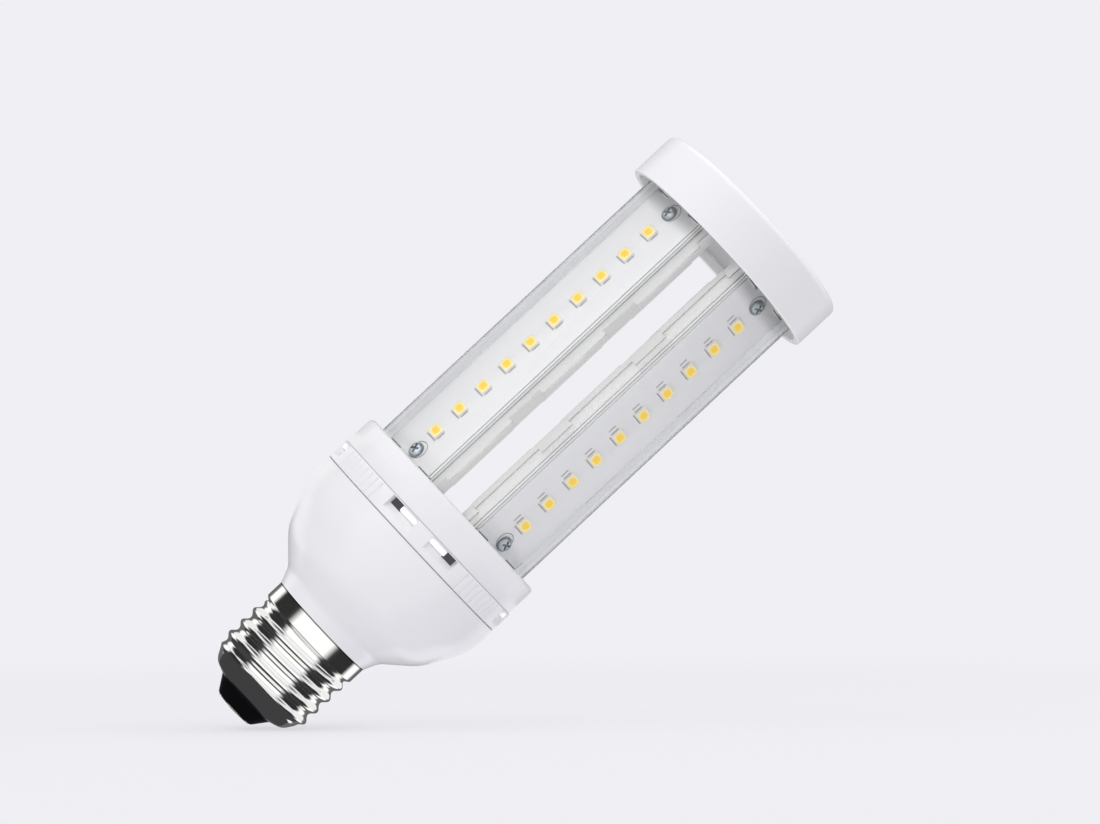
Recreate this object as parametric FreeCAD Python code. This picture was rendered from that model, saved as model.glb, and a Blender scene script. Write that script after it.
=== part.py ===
"""Corn lamp: four clear LED columns round an open centre, on a 27 mm screw base.

All sizes are in millimetres. +Z runs from the base's contact to the cap, and the origin is the tip of
the contact. A profile of revolution is a list of (radius, height, rounding) corners. A column is
modelled facing +X, with Y across it, and then turned about Z.
"""

import FreeCAD, Part
import math
import os

from FreeCAD import Vector

# Roundings of turned pieces are made of flats that turn by about this angle, and a rounding takes
# no more than a share of the shorter side at its corner
turned_flat_angle = 30.0
longest_rounding_share = 0.45

# Screw shell
thread_radius = 13.2
thread_depth = 1.05
thread_pitch = 3.629
shell_height = 23.0
shell_wall = 0.4
skirt_height = 4.6
shell_mouth_radius = 7.6
shell_cone_angle = 40.0
crest_below_skirt = 2.05
thread_turns = 3.25
thread_root_share = 0.46
thread_flank_share = 0.25
thread_crest_share = 0.09
thread_flank_height = 0.5
skirt_ramp = 0.6

# Insulator and centre contact
insulator_height = 3.5
insulator_tip_radius = 5.0
insulator_lip = 0.1
plug_height = 2.2
contact_radius = 4.75
contact_height = 0.5
contact_edge = 0.15
contact_flat_radius = 2.0
rivet_radius = 1.2
rivet_head_radius = 2.2
rivet_head_height = 0.4

# Bowl housing
housing_height = 26.65
housing_wall = 1.5
housing_overhang = 0.1
throat_radius = 14.67
throat_height = 3.3
throat_rounding = 5.0
hip_radius = 21.44
hip_height = 9.6
hip_rounding = 14.0
shoulder_height = 19.2
shoulder_rounding = 15.0
neck_length = 15.0
neck_wall = 1.6
neck_step_length = 3.8
neck_slot_width = 1.8
neck_slot_height = 3.0
rib_count = 4
rib_thickness = 1.2
rib_length = 7.0
rib_seat = 1.4

# Ring with its snap windows and grip grooves
ring_height = 5.1
ring_wall = 2.0
seam_depth = 0.35
seam_height = 0.2
spigot_length = 3.0
spigot_wall = 1.5
spigot_flange = 1.0
window_pairs = 4
window_inner_angle = 5.0
window_outer_angle = 22.4
window_sill = 1.25
window_lintel = 0.25
window_open_height = 1.75
window_ramp_depth = 1.3
groove_count = 8
groove_pitch_angle = 4.11
groove_depth = 0.3
groove_land = 0.5

# Collar with its snap fingers and column pockets
collar_step = 0.4
collar_margin = 2.15
collar_height = 7.45
collar_wall = 1.6
collar_plate = 1.8
collar_rounding = 1.0
finger_thickness = 1.5
finger_lead = 0.7
finger_root = 2.0
hook_outer_angle = 15.3
hook_ramp = 0.35
hook_setback = 0.5
guide_inner_angle = 29.0
guide_drop = 1.6
pocket_depth = 4.5
pocket_wall = 1.2
wire_hole_slack = 0.7

# Columns
column_count = 4
column_opening = 79.8
column_width = 22.1
column_face_radius = 21.2
column_depth = 6.1
cover_wall = 0.9
cover_rounding = 0.9
plate_thickness = 1.4
rail_width = 1.4
boss_width = 4.2
lug_count = 4
end_lug_inset = 2.875
lug_length = 8.9
lug_height = 2.8
lug_recess = 0.2

# LED boards
board_side_gap = 1.575
board_thickness = 1.2
board_margin = 0.3
board_tongue_width = 8.4
led_count = 10
led_inset = 5.95
led_width = 3.5
led_length = 2.8
led_height = 0.7
phosphor_size = 2.3
phosphor_depth = 0.25

# Board screws
screw_inset = 2.45
screw_head_radius = 1.85
screw_head_height = 1.0
screw_radius = 0.9
fastener_sides = 12
screw_length = 3.4

# Top cap and the plate that carries the columns under it
cap_margin = 1.0
cap_wall = 1.5
cap_height = 11.5
cap_crown = 0.8
cap_crown_radius = 15.0
cap_rounding = 1.0
cap_recess = 2.2
cap_ledge = 1.0
carrier_thickness = 1.6
carrier_rim_height = 4.0
carrier_rim_wall = 1.3
cap_pocket_depth = 2.5

# Driver inside the housing
driver_gap = 0.9
driver_board_margin = 2.95
driver_board_thickness = 1.6
capacitor_radius = 5.0
capacitor_length = 16.0
capacitor_place = (2.5, 0.0)
transformer_size = (13.0, 11.0, 9.5)
transformer_core = (5.0, 13.0, 6.5)
transformer_place = (-11.0, 0.0)
choke_radius = 4.0
choke_length = 8.5
choke_place = (1.0, -12.5)
film_size = (4.5, 10.5, 8.0)
film_place = (11.5, 7.0)
rectifier_size = (6.4, 5.0, 2.5)
rectifier_place = (10.0, 0.0)
lead_radius = 0.55
contact_lead_place = (-3.5, 5.5)
shell_lead_place = (-3.0, -5.5)
throat_clearance = 2.0
board_lead_width = 5.0
board_lead_thickness = 1.1
board_lead_overlap = 1.8

# Fits
slide_fit = 0.1
seat_fit = 0.15
thread_fit = 0.05
head_fit = 0.1

# Levels from the contact's tip upwards
insulator_bottom = contact_height
shell_bottom = insulator_bottom + insulator_height
shell_rim = shell_bottom + shell_height
skirt_bottom = shell_rim - skirt_height
housing_top = shell_rim + housing_height
ring_top = housing_top + ring_height
window_top = ring_top - window_lintel
window_bottom = window_top - window_open_height
collar_top = ring_top + collar_height
cap_rim = collar_top + column_opening
carrier_bottom = cap_rim + cap_recess
cap_edge = cap_rim + cap_height
column_bottom = collar_top - pocket_depth
column_top = carrier_bottom + cap_pocket_depth - seat_fit
driver_seat = shell_rim + hip_height + driver_gap + transformer_size[2]
driver_top = driver_seat + driver_board_thickness
neck_bottom = shell_rim - neck_length
plug_top = shell_bottom + plug_height
rivet_top = plug_top + rivet_head_height
throat_level = driver_seat - capacitor_length - throat_clearance

# Radii and distances that follow from the sizes
root_radius = thread_radius - thread_depth
cone_run = 1 / math.tan(math.radians(shell_cone_angle))
cone_wall = shell_wall / math.sin(math.radians(shell_cone_angle))
shell_bore = root_radius - shell_wall
skirt_bore = thread_radius - shell_wall
column_corner = math.hypot(column_face_radius, column_width / 2)
housing_radius = column_corner + collar_margin + collar_step
housing_bore = housing_radius - housing_wall
driver_board_radius = housing_bore - driver_board_margin
ring_bore = housing_radius - ring_wall
collar_radius = housing_radius - collar_step
finger_radius = ring_bore - slide_fit
finger_inner = finger_radius - finger_thickness
cap_bore = column_corner + cap_margin
cap_radius = cap_bore + cap_wall
cover_face = column_face_radius - cover_wall
board_face = cover_face - screw_head_height - head_fit
board_back = board_face - board_thickness
board_width = column_width - 2 * (cover_wall + board_side_gap)
column_back = column_face_radius - column_depth
plate_face = column_back + plate_thickness
turn = 360.0 / column_count
axis = Vector(0, 0, 1)
origin = Vector(0, 0, 0)


def rounded_wire(corners, flat_angle=None):
    """Closed wire in the XZ plane through (x, z, rounding) corners, with tangent arcs at the corners.

    With a flat_angle, each arc is drawn as chords that turn by about that many degrees.
    """
    points = [Vector(x, 0, z) for x, z, _ in corners]
    edges = []
    last = None
    first = None
    for i, (_, _, rounding) in enumerate(corners):
        before = points[i - 1] - points[i]
        after = points[(i + 1) % len(points)] - points[i]
        half = before.getAngle(after) / 2
        longest = longest_rounding_share * min(before.Length, after.Length)
        reach = min(rounding / math.tan(half), longest)
        before.normalize()
        after.normalize()
        start = points[i] + before * reach
        end = points[i] + after * reach
        if last is not None:
            edges.append(Part.makeLine(last, start))
        else:
            first = start
        if reach > 0:
            bisector = (before + after).normalize()
            radius = reach * math.tan(half)
            middle = points[i] + bisector * (radius / math.sin(half) - radius)
            arc = Part.Arc(start, middle, end)
            if flat_angle:
                flats = math.ceil((180 - 2 * math.degrees(half)) / flat_angle)
                spots = arc.discretize(flats + 1)
                edges += [Part.makeLine(a, b) for a, b in zip(spots, spots[1:])]
            else:
                edges.append(arc.toShape())
        last = end
    edges.append(Part.makeLine(last, first))
    return Part.Wire(edges)


def spun(corners, start_angle=0.0, sweep_angle=360.0):
    """Solid of revolution about Z of a profile, from start_angle through sweep_angle."""
    face = Part.Face(rounded_wire(corners, turned_flat_angle))
    face.rotate(origin, axis, start_angle)
    solid = face.revolve(origin, axis, sweep_angle)
    if solid.Volume < 0:
        solid.reverse()
    return solid


def sharp(*pairs):
    """Profile of (radius, height) pairs with no rounding."""
    return [(radius, height, 0.0) for radius, height in pairs]


def tube(outer, inner, bottom, top, start_angle=0.0, sweep_angle=360.0):
    """Round tube, or a sector of one."""
    profile = sharp((inner, bottom), (outer, bottom), (outer, top), (inner, top))
    return spun(profile, start_angle, sweep_angle)


def block(x_range, y_range, z_range):
    """Box between the given ranges."""
    corner = Vector(x_range[0], y_range[0], z_range[0])
    size = [high - low for low, high in (x_range, y_range, z_range)]
    return Part.makeBox(*size, corner)


def centred_block(place, size, bottom):
    """Box of a size, centred on a place in plan, standing on a level."""
    ranges = [(place[i] - size[i] / 2, place[i] + size[i] / 2) for i in range(2)]
    return block(*ranges, (bottom, bottom + size[2]))


def turned(shape, angle):
    """Copy of a shape turned about Z."""
    copy = shape.copy()
    copy.rotate(origin, axis, angle)
    return copy


def inset_profile(corners, distance):
    """Points of an open profile moved to its left-hand side by a distance, with sharp corners."""
    points = [Vector(x, z, 0) for x, z, _ in corners]
    lines = []
    for a, b in zip(points, points[1:]):
        along = (b - a).normalize()
        shift = Vector(-along.y, along.x, 0) * distance
        lines.append((a + shift, along))
    moved = [(lines[0][0].x, lines[0][0].y)]
    for (a, u), (b, v) in zip(lines, lines[1:]):
        bend = u.x * v.y - u.y * v.x
        reach = ((b - a).x * v.y - (b - a).y * v.x) / bend
        corner = a + u * reach
        moved.append((corner.x, corner.y))
    end = points[-1] + (lines[-1][0] - points[-2])
    moved.append((end.x, end.y))
    return moved


def lead(points):
    """Round insulated lead along straight runs."""
    section = Part.Wire(Part.makeCircle(lead_radius, points[0], points[1] - points[0]))
    mitred = 1
    return Part.makePolygon(points).makePipeShell([section], True, True, mitred)


# Screw shell


def screw_shell():
    """Thin shell with a rounded right-hand thread, a conical bottom and a plain skirt."""
    inner_mouth = shell_mouth_radius - cone_wall
    skirt_foot = skirt_bottom + skirt_ramp
    wall = spun(
        sharp(
            (shell_mouth_radius, shell_bottom),
            (root_radius, shell_bottom + (root_radius - shell_mouth_radius) / cone_run),
            (root_radius, skirt_bottom),
            (thread_radius, skirt_foot),
            (thread_radius, shell_rim),
            (skirt_bore, shell_rim),
            (skirt_bore, skirt_foot),
            (shell_bore, skirt_foot),
            (shell_bore, shell_bottom + (shell_bore - inner_mouth) / cone_run),
            (inner_mouth, shell_bottom),
        )
    )
    base = root_radius - shell_wall / 2
    flank = root_radius + thread_flank_height * thread_depth
    points = [
        Vector(base, 0, -thread_root_share * thread_pitch),
        Vector(flank, 0, -thread_flank_share * thread_pitch),
        Vector(thread_radius, 0, -thread_crest_share * thread_pitch),
    ]
    points += [Vector(p.x, 0, -p.z) for p in reversed(points)]
    helix = Part.makeLongHelix(thread_pitch, thread_pitch * thread_turns, thread_radius)
    ridge = helix.makePipeShell([Part.makePolygon(points + points[:1])], True, True)
    turns_below = math.floor((skirt_bottom - crest_below_skirt - shell_bottom) / thread_pitch) - 1
    start = skirt_bottom - crest_below_skirt - turns_below * thread_pitch
    ridge.translate(Vector(0, 0, start))
    return wall.fuse(ridge)


def base_insulator():
    """Black plug that closes the shell and holds the contact clear of it."""
    foot = shell_mouth_radius - cone_wall - thread_fit
    crown = foot + plug_height * cone_run
    hole = rivet_radius + thread_fit
    return spun(
        sharp(
            (hole, insulator_bottom),
            (insulator_tip_radius, insulator_bottom),
            (shell_mouth_radius - insulator_lip, shell_bottom),
            (foot, shell_bottom),
            (crown, plug_top),
            (hole, plug_top),
        )
    )


def centre_contact():
    """Shallow domed contact with its hollow rivet spread over the plug."""
    return spun(
        sharp(
            (0.0, 0.0),
            (contact_flat_radius, 0.0),
            (contact_radius, contact_height - contact_edge),
            (contact_radius, contact_height),
            (rivet_radius, contact_height),
            (rivet_radius, plug_top),
            (rivet_head_radius, plug_top),
            (rivet_radius, rivet_top),
            (0.0, rivet_top),
        )
    )


# Housing


def housing_outline():
    """Outside of the bowl from the shell's rim up to its top edge."""
    return [
        (thread_radius + housing_overhang, shell_rim, 0.0),
        (throat_radius, shell_rim + throat_height, throat_rounding),
        (hip_radius, shell_rim + hip_height, hip_rounding),
        (housing_radius, shell_rim + shoulder_height, shoulder_rounding),
        (housing_radius, housing_top, 0.0),
    ]


def lamp_housing():
    """Bowl with a stepped neck for the screw shell and ribs that carry the driver board."""
    outline = housing_outline()
    inside = inset_profile(outline, housing_wall)
    neck_step = shell_rim - neck_step_length
    wide = skirt_bore - thread_fit
    narrow = shell_bore - thread_fit
    bore = narrow - neck_wall
    neck = sharp(
        (bore, neck_bottom),
        (narrow, neck_bottom),
        (narrow, neck_step),
        (wide, neck_step),
        (wide, shell_rim),
    )
    cavity = sharp((bore, inside[0][1]), *inside[1:])
    bowl = spun(neck + outline + cavity[::-1])
    solid = spun([(0.0, shell_rim, 0.0)] + outline + [(0.0, housing_top, 0.0)])
    ribs = []
    for i in range(rib_count):
        rib = block(
            (driver_board_radius - rib_seat, housing_radius),
            (-rib_thickness / 2, rib_thickness / 2),
            (driver_seat - rib_length, driver_seat),
        )
        ribs.append(turned(rib, i * 360.0 / rib_count).common(solid))
    bowl = bowl.fuse(ribs).removeSplitter()
    slot = block(
        (-neck_slot_width / 2, neck_slot_width / 2),
        (-thread_radius, 0.0),
        (neck_bottom, neck_bottom + neck_slot_height),
    )
    return bowl.cut(slot)


def grip_ring():
    """Ring over the bowl, with four pairs of snap windows and grip grooves between them."""
    low = housing_top + seam_height
    high = ring_top - seam_height
    step = housing_radius - seam_depth
    spigot = housing_bore - slide_fit
    ring = spun(
        sharp(
            (spigot - spigot_wall, housing_top - spigot_length),
            (spigot, housing_top - spigot_length),
            (spigot, housing_top),
            (step, housing_top),
            (housing_radius, low),
            (housing_radius, high),
            (step, ring_top),
            (ring_bore, ring_top),
            (ring_bore, housing_top + spigot_flange),
            (spigot - spigot_wall, housing_top + spigot_flange),
        )
    )
    sill = housing_top + window_sill
    within = ring_bore - seam_depth
    beyond = housing_radius + seam_depth
    cuts = []
    sweep = window_outer_angle - window_inner_angle
    hole = sharp((within, window_bottom), (beyond, window_bottom), (beyond, window_top), (within, window_top))
    ramp = sharp(
        (beyond, sill),
        (beyond, window_bottom),
        (housing_radius - window_ramp_depth, window_bottom),
        (housing_radius, sill),
    )
    for pair in range(window_pairs):
        for start in (window_inner_angle, -window_outer_angle):
            angle = pair * 360.0 / window_pairs + start
            cuts.append(spun(hole, angle, sweep))
            cuts.append(spun(ramp, angle, sweep))
    bottom = Vector(housing_radius - groove_depth, 0, housing_top)
    side = Vector(housing_radius + groove_depth, 2 * groove_depth, housing_top)
    vee = Part.Face(Part.makePolygon([bottom, side, Vector(side.x, -side.y, side.z), bottom]))
    groove = vee.extrude(Vector(0, 0, ring_height - groove_land))
    for quarter in range(window_pairs):
        middle = (quarter + 0.5) * 360.0 / window_pairs
        for i in range(groove_count):
            cuts.append(turned(groove, middle + (i - (groove_count - 1) / 2) * groove_pitch_angle))
    return ring.cut(cuts)


# Collar


def column_footprint(gap, bottom, top):
    """Box round a column's section, facing +X, with a gap on every side."""
    half = column_width / 2 + gap
    return block((column_back - gap, column_face_radius + gap), (-half, half), (bottom, top))


def column_angles():
    """Directions that the columns face."""
    return [(i + 0.5) * turn for i in range(column_count)]


def column_collar():
    """Collar with a pocket under each column and snap fingers that reach into the ring."""
    bore = collar_radius - collar_wall
    underside = collar_top - collar_plate
    collar = spun(
        [
            (0.0, underside, 0.0),
            (bore, underside, 0.0),
            (bore, ring_top, 0.0),
            (collar_radius, ring_top, 0.0),
            (collar_radius, collar_top, collar_rounding),
            (0.0, collar_top, 0.0),
        ]
    )
    added = [tube(bore + collar_wall / 2, finger_inner, ring_top, ring_top + finger_root)]
    finger_tip = window_bottom - finger_lead
    hook_foot = window_bottom + slide_fit
    hook_top = window_top - slide_fit
    hook_face = housing_radius - hook_setback
    hook = sharp(
        (finger_inner, hook_foot),
        (finger_radius, hook_foot),
        (hook_face, hook_foot + hook_ramp),
        (hook_face, hook_top),
        (finger_inner, hook_top),
    )
    margin = math.degrees(slide_fit / housing_radius)
    sweep = hook_outer_angle - window_inner_angle - margin
    for pair in range(window_pairs):
        middle = pair * 360.0 / window_pairs
        for start in (window_inner_angle + margin, -hook_outer_angle):
            added.append(tube(finger_radius, finger_inner, finger_tip, ring_top, middle + start, sweep))
            added.append(spun(hook, middle + start, sweep))
        start = middle + guide_inner_angle
        guide = 360.0 / window_pairs - 2 * guide_inner_angle
        added.append(tube(finger_radius, finger_inner, ring_top - guide_drop, ring_top, start, guide))
    limit = Part.makeCylinder(bore + collar_wall / 2, collar_height, Vector(0, 0, ring_top))
    pocket_join = collar_top - collar_plate / 2
    pockets = []
    for angle in column_angles():
        sleeve = column_footprint(seat_fit + pocket_wall, column_bottom - pocket_wall, pocket_join)
        added.append(turned(sleeve, angle).common(limit))
        pockets.append(turned(column_footprint(seat_fit, column_bottom, collar_top), angle))
        across = board_lead_width / 2 + wire_hole_slack
        wires = block(
            (board_back - board_lead_thickness - wire_hole_slack, board_back),
            (-across, across),
            (column_bottom - pocket_wall, column_bottom),
        )
        pockets.append(turned(wires, angle))
    return collar.fuse(added).cut(pockets).removeSplitter()


# Columns


def evenly_spaced(first, last, count):
    """Levels from the first to the last, the same distance apart."""
    return [first + i * (last - first) / (count - 1) for i in range(count)]


def lug_levels():
    """Middle of each side lug, along the column."""
    return evenly_spaced(column_bottom + end_lug_inset, column_top - end_lug_inset, lug_count)


def lug_blocks(gap):
    """Side lugs of the back plate within the column's length, or with a gap the notches for them."""
    half = column_width / 2
    inner = half - cover_wall - gap
    blocks = []
    for level in lug_levels():
        low = max(level - lug_length / 2 - gap, column_bottom)
        high = min(level + lug_length / 2 + gap, column_top)
        outer = half - lug_recess if gap == 0 else half + gap
        for side in (-1, 1):
            across = sorted((side * inner, side * outer))
            blocks.append(block((column_back, column_back + lug_height + gap), across, (low, high)))
    return blocks


def column_cover():
    """Clear channel with square-cornered notches for the lugs."""
    half = column_width / 2
    back = plate_face + thread_fit
    outer = rounded_section(back, column_face_radius, half, cover_rounding)
    inner = rounded_section(back, cover_face, half - cover_wall, 0.0)
    channel = raised(outer, column_bottom, column_top).cut(raised(inner, column_bottom, column_top))
    return channel.cut(lug_blocks(slide_fit))


def rounded_section(back, front, half, rounding):
    """Face in plan, square at the back and rounded at its two front corners."""
    corners = [(back, -half, 0.0), (front, -half, rounding), (front, half, rounding), (back, half, 0.0)]
    wire = rounded_wire(corners)
    wire.rotate(origin, Vector(1, 0, 0), -90)
    return Part.Face(wire)


def raised(face, bottom, top):
    """Prism on a face in plan between two levels."""
    prism = face.extrude(Vector(0, 0, top - bottom))
    prism.translate(Vector(0, 0, bottom))
    return prism


def screw_levels():
    """Levels of a board's two screws."""
    return [collar_top + screw_inset, cap_rim - screw_inset]


def radial_bar(radius, inner, outer, level):
    """Many-sided bar along +X at a level, for the small screws and their holes."""
    turns = [2 * math.pi * (i + 0.5) / fastener_sides for i in range(fastener_sides)]
    points = [Vector(inner, radius * math.sin(a), level + radius * math.cos(a)) for a in turns]
    return Part.Face(Part.makePolygon(points + points[:1])).extrude(Vector(outer - inner, 0, 0))


def back_plate():
    """Moulded plate that closes a column, with lugs, board rails and screw bosses."""
    half = column_width / 2
    rail = board_width / 2
    whole = (column_bottom, column_top)
    board = (collar_top + board_margin, cap_rim - board_margin)
    added = []
    for side in (-rail, rail - rail_width):
        added.append(block((plate_face, board_back), (side, side + rail_width), board))
    for level in screw_levels():
        around = (level - boss_width / 2, level + boss_width / 2)
        added.append(block((plate_face, board_back), (-boss_width / 2, boss_width / 2), around))
    added += lug_blocks(0.0)
    base = block((column_back, plate_face), (-half, half), whole)
    notches = []
    for level in lug_levels():
        low = max(level - lug_length / 2 - slide_fit, column_bottom)
        high = min(level + lug_length / 2 + slide_fit, column_top)
        for side in (-1, 1):
            across = sorted((side * (half - lug_recess), side * half))
            notches.append(block((column_back, plate_face), across, (low, high)))
    plate = base.cut(notches).fuse(added)
    pilots = [
        radial_bar(screw_radius + thread_fit, board_face - screw_length - slide_fit, board_back, level)
        for level in screw_levels()
    ]
    return plate.cut(pilots).removeSplitter()


def led_board():
    """Board with a tongue at each end and two screw holes."""
    wide = board_width / 2
    narrow = board_tongue_width / 2
    low = collar_top + board_margin
    high = cap_rim - board_margin
    foot = column_bottom + slide_fit
    head = column_top - slide_fit
    left = [
        (-narrow, foot, 0.0),
        (-narrow, low, 0.0),
        (-wide, low, 0.0),
        (-wide, high, 0.0),
        (-narrow, high, 0.0),
        (-narrow, head, 0.0),
    ]
    right = [(-x, z, rounding) for x, z, rounding in reversed(left)]
    wire = rounded_wire(left + right)
    wire.rotate(origin, axis, 90)
    board = Part.Face(wire).extrude(Vector(board_thickness, 0, 0))
    board.translate(Vector(board_back, 0, 0))
    hole = screw_radius + slide_fit
    return board.cut([radial_bar(hole, board_back, board_face, level) for level in screw_levels()])


def led_levels():
    """Middle of each LED along the column."""
    low, high = screw_levels()
    return evenly_spaced(low + led_inset, high - led_inset, led_count)


def phosphor(level):
    """Square window that fills the recess in a package."""
    half = phosphor_size / 2
    front = board_face + led_height
    return block((front - phosphor_depth, front), (-half, half), (level - half, level + half))


def led_packages():
    """White packages of one board."""
    packages = []
    for level in led_levels():
        body = block(
            (board_face, board_face + led_height),
            (-led_width / 2, led_width / 2),
            (level - led_length / 2, level + led_length / 2),
        )
        packages.append(body.cut(phosphor(level)))
    return Part.makeCompound(packages)


def led_phosphors():
    """Phosphor windows of one board."""
    return Part.makeCompound([phosphor(level) for level in led_levels()])


def board_screws():
    """Two cheese-head screws."""
    screws = []
    top = board_face + screw_head_height
    for level in screw_levels():
        head = radial_bar(screw_head_radius, board_face, top, level)
        shank = radial_bar(screw_radius, board_face - screw_length, board_face, level)
        screws.append(head.fuse(shank))
    return Part.makeCompound(screws)


# Cap


def carrier_plate():
    """Plate under the cap with a pocket over each column and a rim that seats on the cap's ledge."""
    radius = cap_bore - slide_fit
    top = carrier_bottom + carrier_thickness
    rim_top = carrier_bottom + carrier_rim_height
    plate = spun(
        sharp(
            (0.0, carrier_bottom),
            (radius, carrier_bottom),
            (radius, rim_top),
            (radius - carrier_rim_wall, rim_top),
            (radius - carrier_rim_wall, top),
            (0.0, top),
        )
    )
    limit = Part.makeCylinder(radius - carrier_rim_wall / 2, cap_height, Vector(0, 0, carrier_bottom))
    ceiling = carrier_bottom + cap_pocket_depth
    for angle in column_angles():
        sleeve = column_footprint(seat_fit + pocket_wall, carrier_bottom, ceiling + pocket_wall)
        plate = plate.fuse(turned(sleeve, angle).common(limit))
    pocket = column_footprint(seat_fit, carrier_bottom, ceiling)
    return plate.cut([turned(pocket, angle) for angle in column_angles()]).removeSplitter()


def top_cap():
    """Cup-shaped cap with a low crown and an inner ledge."""
    ledge = carrier_bottom + carrier_rim_height
    upper_bore = cap_bore - cap_ledge
    ceiling = cap_edge - cap_wall
    return spun(
        [
            (0.0, ceiling, 0.0),
            (upper_bore, ceiling, 0.0),
            (upper_bore, ledge, 0.0),
            (cap_bore, ledge, 0.0),
            (cap_bore, cap_rim, 0.0),
            (cap_radius, cap_rim, 0.0),
            (cap_radius, cap_edge, cap_rounding),
            (cap_crown_radius, cap_edge + cap_crown, 0.0),
            (0.0, cap_edge + cap_crown, 0.0),
        ]
    )


# Driver


def driver_board():
    """Round board resting on the housing's ribs."""
    return Part.makeCylinder(driver_board_radius, driver_board_thickness, Vector(0, 0, driver_seat))


def hanging_can(place, radius, length):
    """Round component that hangs from the driver board."""
    return Part.makeCylinder(radius, length, Vector(*place, driver_seat - length))


def driver_capacitor():
    """Electrolytic can that reaches down into the throat."""
    return hanging_can(capacitor_place, capacitor_radius, capacitor_length)


def driver_transformer():
    """Wound bobbin in its ferrite core, under the board."""
    bobbin = centred_block(transformer_place, transformer_size, driver_seat - transformer_size[2])
    lift = (transformer_size[2] - transformer_core[2]) / 2
    core = centred_block(transformer_place, transformer_core, driver_seat - transformer_size[2] + lift)
    return bobbin.fuse(core).removeSplitter()


def driver_choke():
    """Choke in its shrink sleeve."""
    return hanging_can(choke_place, choke_radius, choke_length)


def film_capacitor():
    """Boxed film capacitor under the board."""
    return centred_block(film_place, film_size, driver_seat - film_size[2])


def bridge_rectifier():
    """Flat rectifier package on top of the board."""
    return centred_block(rectifier_place, rectifier_size, driver_top)


def contact_wire():
    """Lead from the driver board to the contact's rivet."""
    return lead(
        [
            Vector(*contact_lead_place, driver_seat),
            Vector(*contact_lead_place, throat_level),
            Vector(0, 0, neck_bottom),
            Vector(0, 0, rivet_top),
        ]
    )


def shell_wire():
    """Lead from the driver board out through the neck's slot to the wall of the shell."""
    x, y = shell_lead_place
    level = neck_bottom + neck_slot_height / 2
    return lead(
        [
            Vector(x, y, driver_seat),
            Vector(x, y, throat_level),
            Vector(0, y, level),
            Vector(0, thread_fit - shell_bore, level),
        ]
    )


def board_leads():
    """Flat twin lead up to the tongue of each LED board."""
    half = board_lead_width / 2
    across = (board_back - board_lead_thickness, board_back)
    strip = block(across, (-half, half), (driver_top, column_bottom + board_lead_overlap))
    return Part.makeCompound([turned(strip, angle) for angle in column_angles()])


single_nodes = [
    screw_shell,
    base_insulator,
    centre_contact,
    lamp_housing,
    grip_ring,
    column_collar,
    carrier_plate,
    top_cap,
    driver_board,
    driver_capacitor,
    driver_transformer,
    driver_choke,
    film_capacitor,
    bridge_rectifier,
    contact_wire,
    shell_wire,
    board_leads,
]
column_nodes = [back_plate, led_board, led_packages, led_phosphors, board_screws, column_cover]

os.makedirs("parts", exist_ok=True)
for make in single_nodes:
    make().exportStep(f"parts/{make.__name__}.step")
for make in column_nodes:
    shape = make()
    for number, angle in enumerate(column_angles(), 1):
        turned(shape, angle).exportStep(f"parts/{make.__name__}_{number}.step")
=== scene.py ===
"""Dresses the corn lamp: four clear LED columns round an open centre, on a 27 mm screw base.

Sizes in the classes are millimetres in the lamp's own frame, with +Z from the contact to the cap, and
they become metres where a mesh is made. A column is modelled facing +X and then turned about Z.
"""

import logging
import math
from abc import ABC, abstractmethod
from dataclasses import dataclass, field
from enum import Enum

import bpy
from bpy.types import Material, Node, NodeSocket, NodeTree, NodeTreeInterfaceSocket, Object
from mathutils import Matrix, Vector


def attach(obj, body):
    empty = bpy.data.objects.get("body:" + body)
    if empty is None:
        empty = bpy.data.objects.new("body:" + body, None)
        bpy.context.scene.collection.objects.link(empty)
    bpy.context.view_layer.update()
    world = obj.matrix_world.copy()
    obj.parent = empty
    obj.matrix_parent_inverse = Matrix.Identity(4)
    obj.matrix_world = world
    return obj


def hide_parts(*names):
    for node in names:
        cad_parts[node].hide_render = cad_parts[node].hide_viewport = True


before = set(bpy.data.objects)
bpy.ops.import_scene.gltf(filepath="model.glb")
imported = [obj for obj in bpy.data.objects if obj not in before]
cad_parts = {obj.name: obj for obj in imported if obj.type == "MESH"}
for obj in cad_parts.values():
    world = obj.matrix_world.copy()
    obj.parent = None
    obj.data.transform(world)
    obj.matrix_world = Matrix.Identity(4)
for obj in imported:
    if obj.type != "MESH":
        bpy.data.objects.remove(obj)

logging.basicConfig(level=logging.INFO, format="%(message)s")
log = logging.getLogger("corn_lamp")

MM = 0.001
MERGE = 2e-6
ARC_LIMIT = 0.49
FACET_TURN = 0.5
Point = tuple[float, float]
Corner = tuple[float, float, float]
Colour = tuple[float, float, float]

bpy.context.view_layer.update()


class Slot(Enum):
    """Material slots of the lamp's record."""

    SHELL = "nickel_shell"
    INSULATOR = "black_insulator"
    CONTACT = "contact_metal"
    HOUSING = "white_housing"
    CARRIER = "carrier_plastic"
    PLATE = "back_plate_plastic"
    COVER = "clear_cover"
    BOARD = "white_board"
    LED_CASE = "led_case"
    PHOSPHOR = "led_phosphor"
    SCREW = "screw_steel"


def srgb(red: int, green: int, blue: int) -> Colour:
    """Linear colour, as shaders take it, of a screen colour whose channels go from 0 to 255."""
    channels = [channel / 255 for channel in (red, green, blue)]
    return tuple(((c + 0.055) / 1.055) ** 2.4 if c > 0.04 else c / 12.92 for c in channels)


# Node work

Value = NodeSocket | float | tuple[float, ...]
Stops = list[tuple[float, Colour]]
RIPPLE_SCALE = 900.0
STAIN_SCALE = 150.0
LINE_SCALE = (12.0, 12.0, 4000.0)


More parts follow.
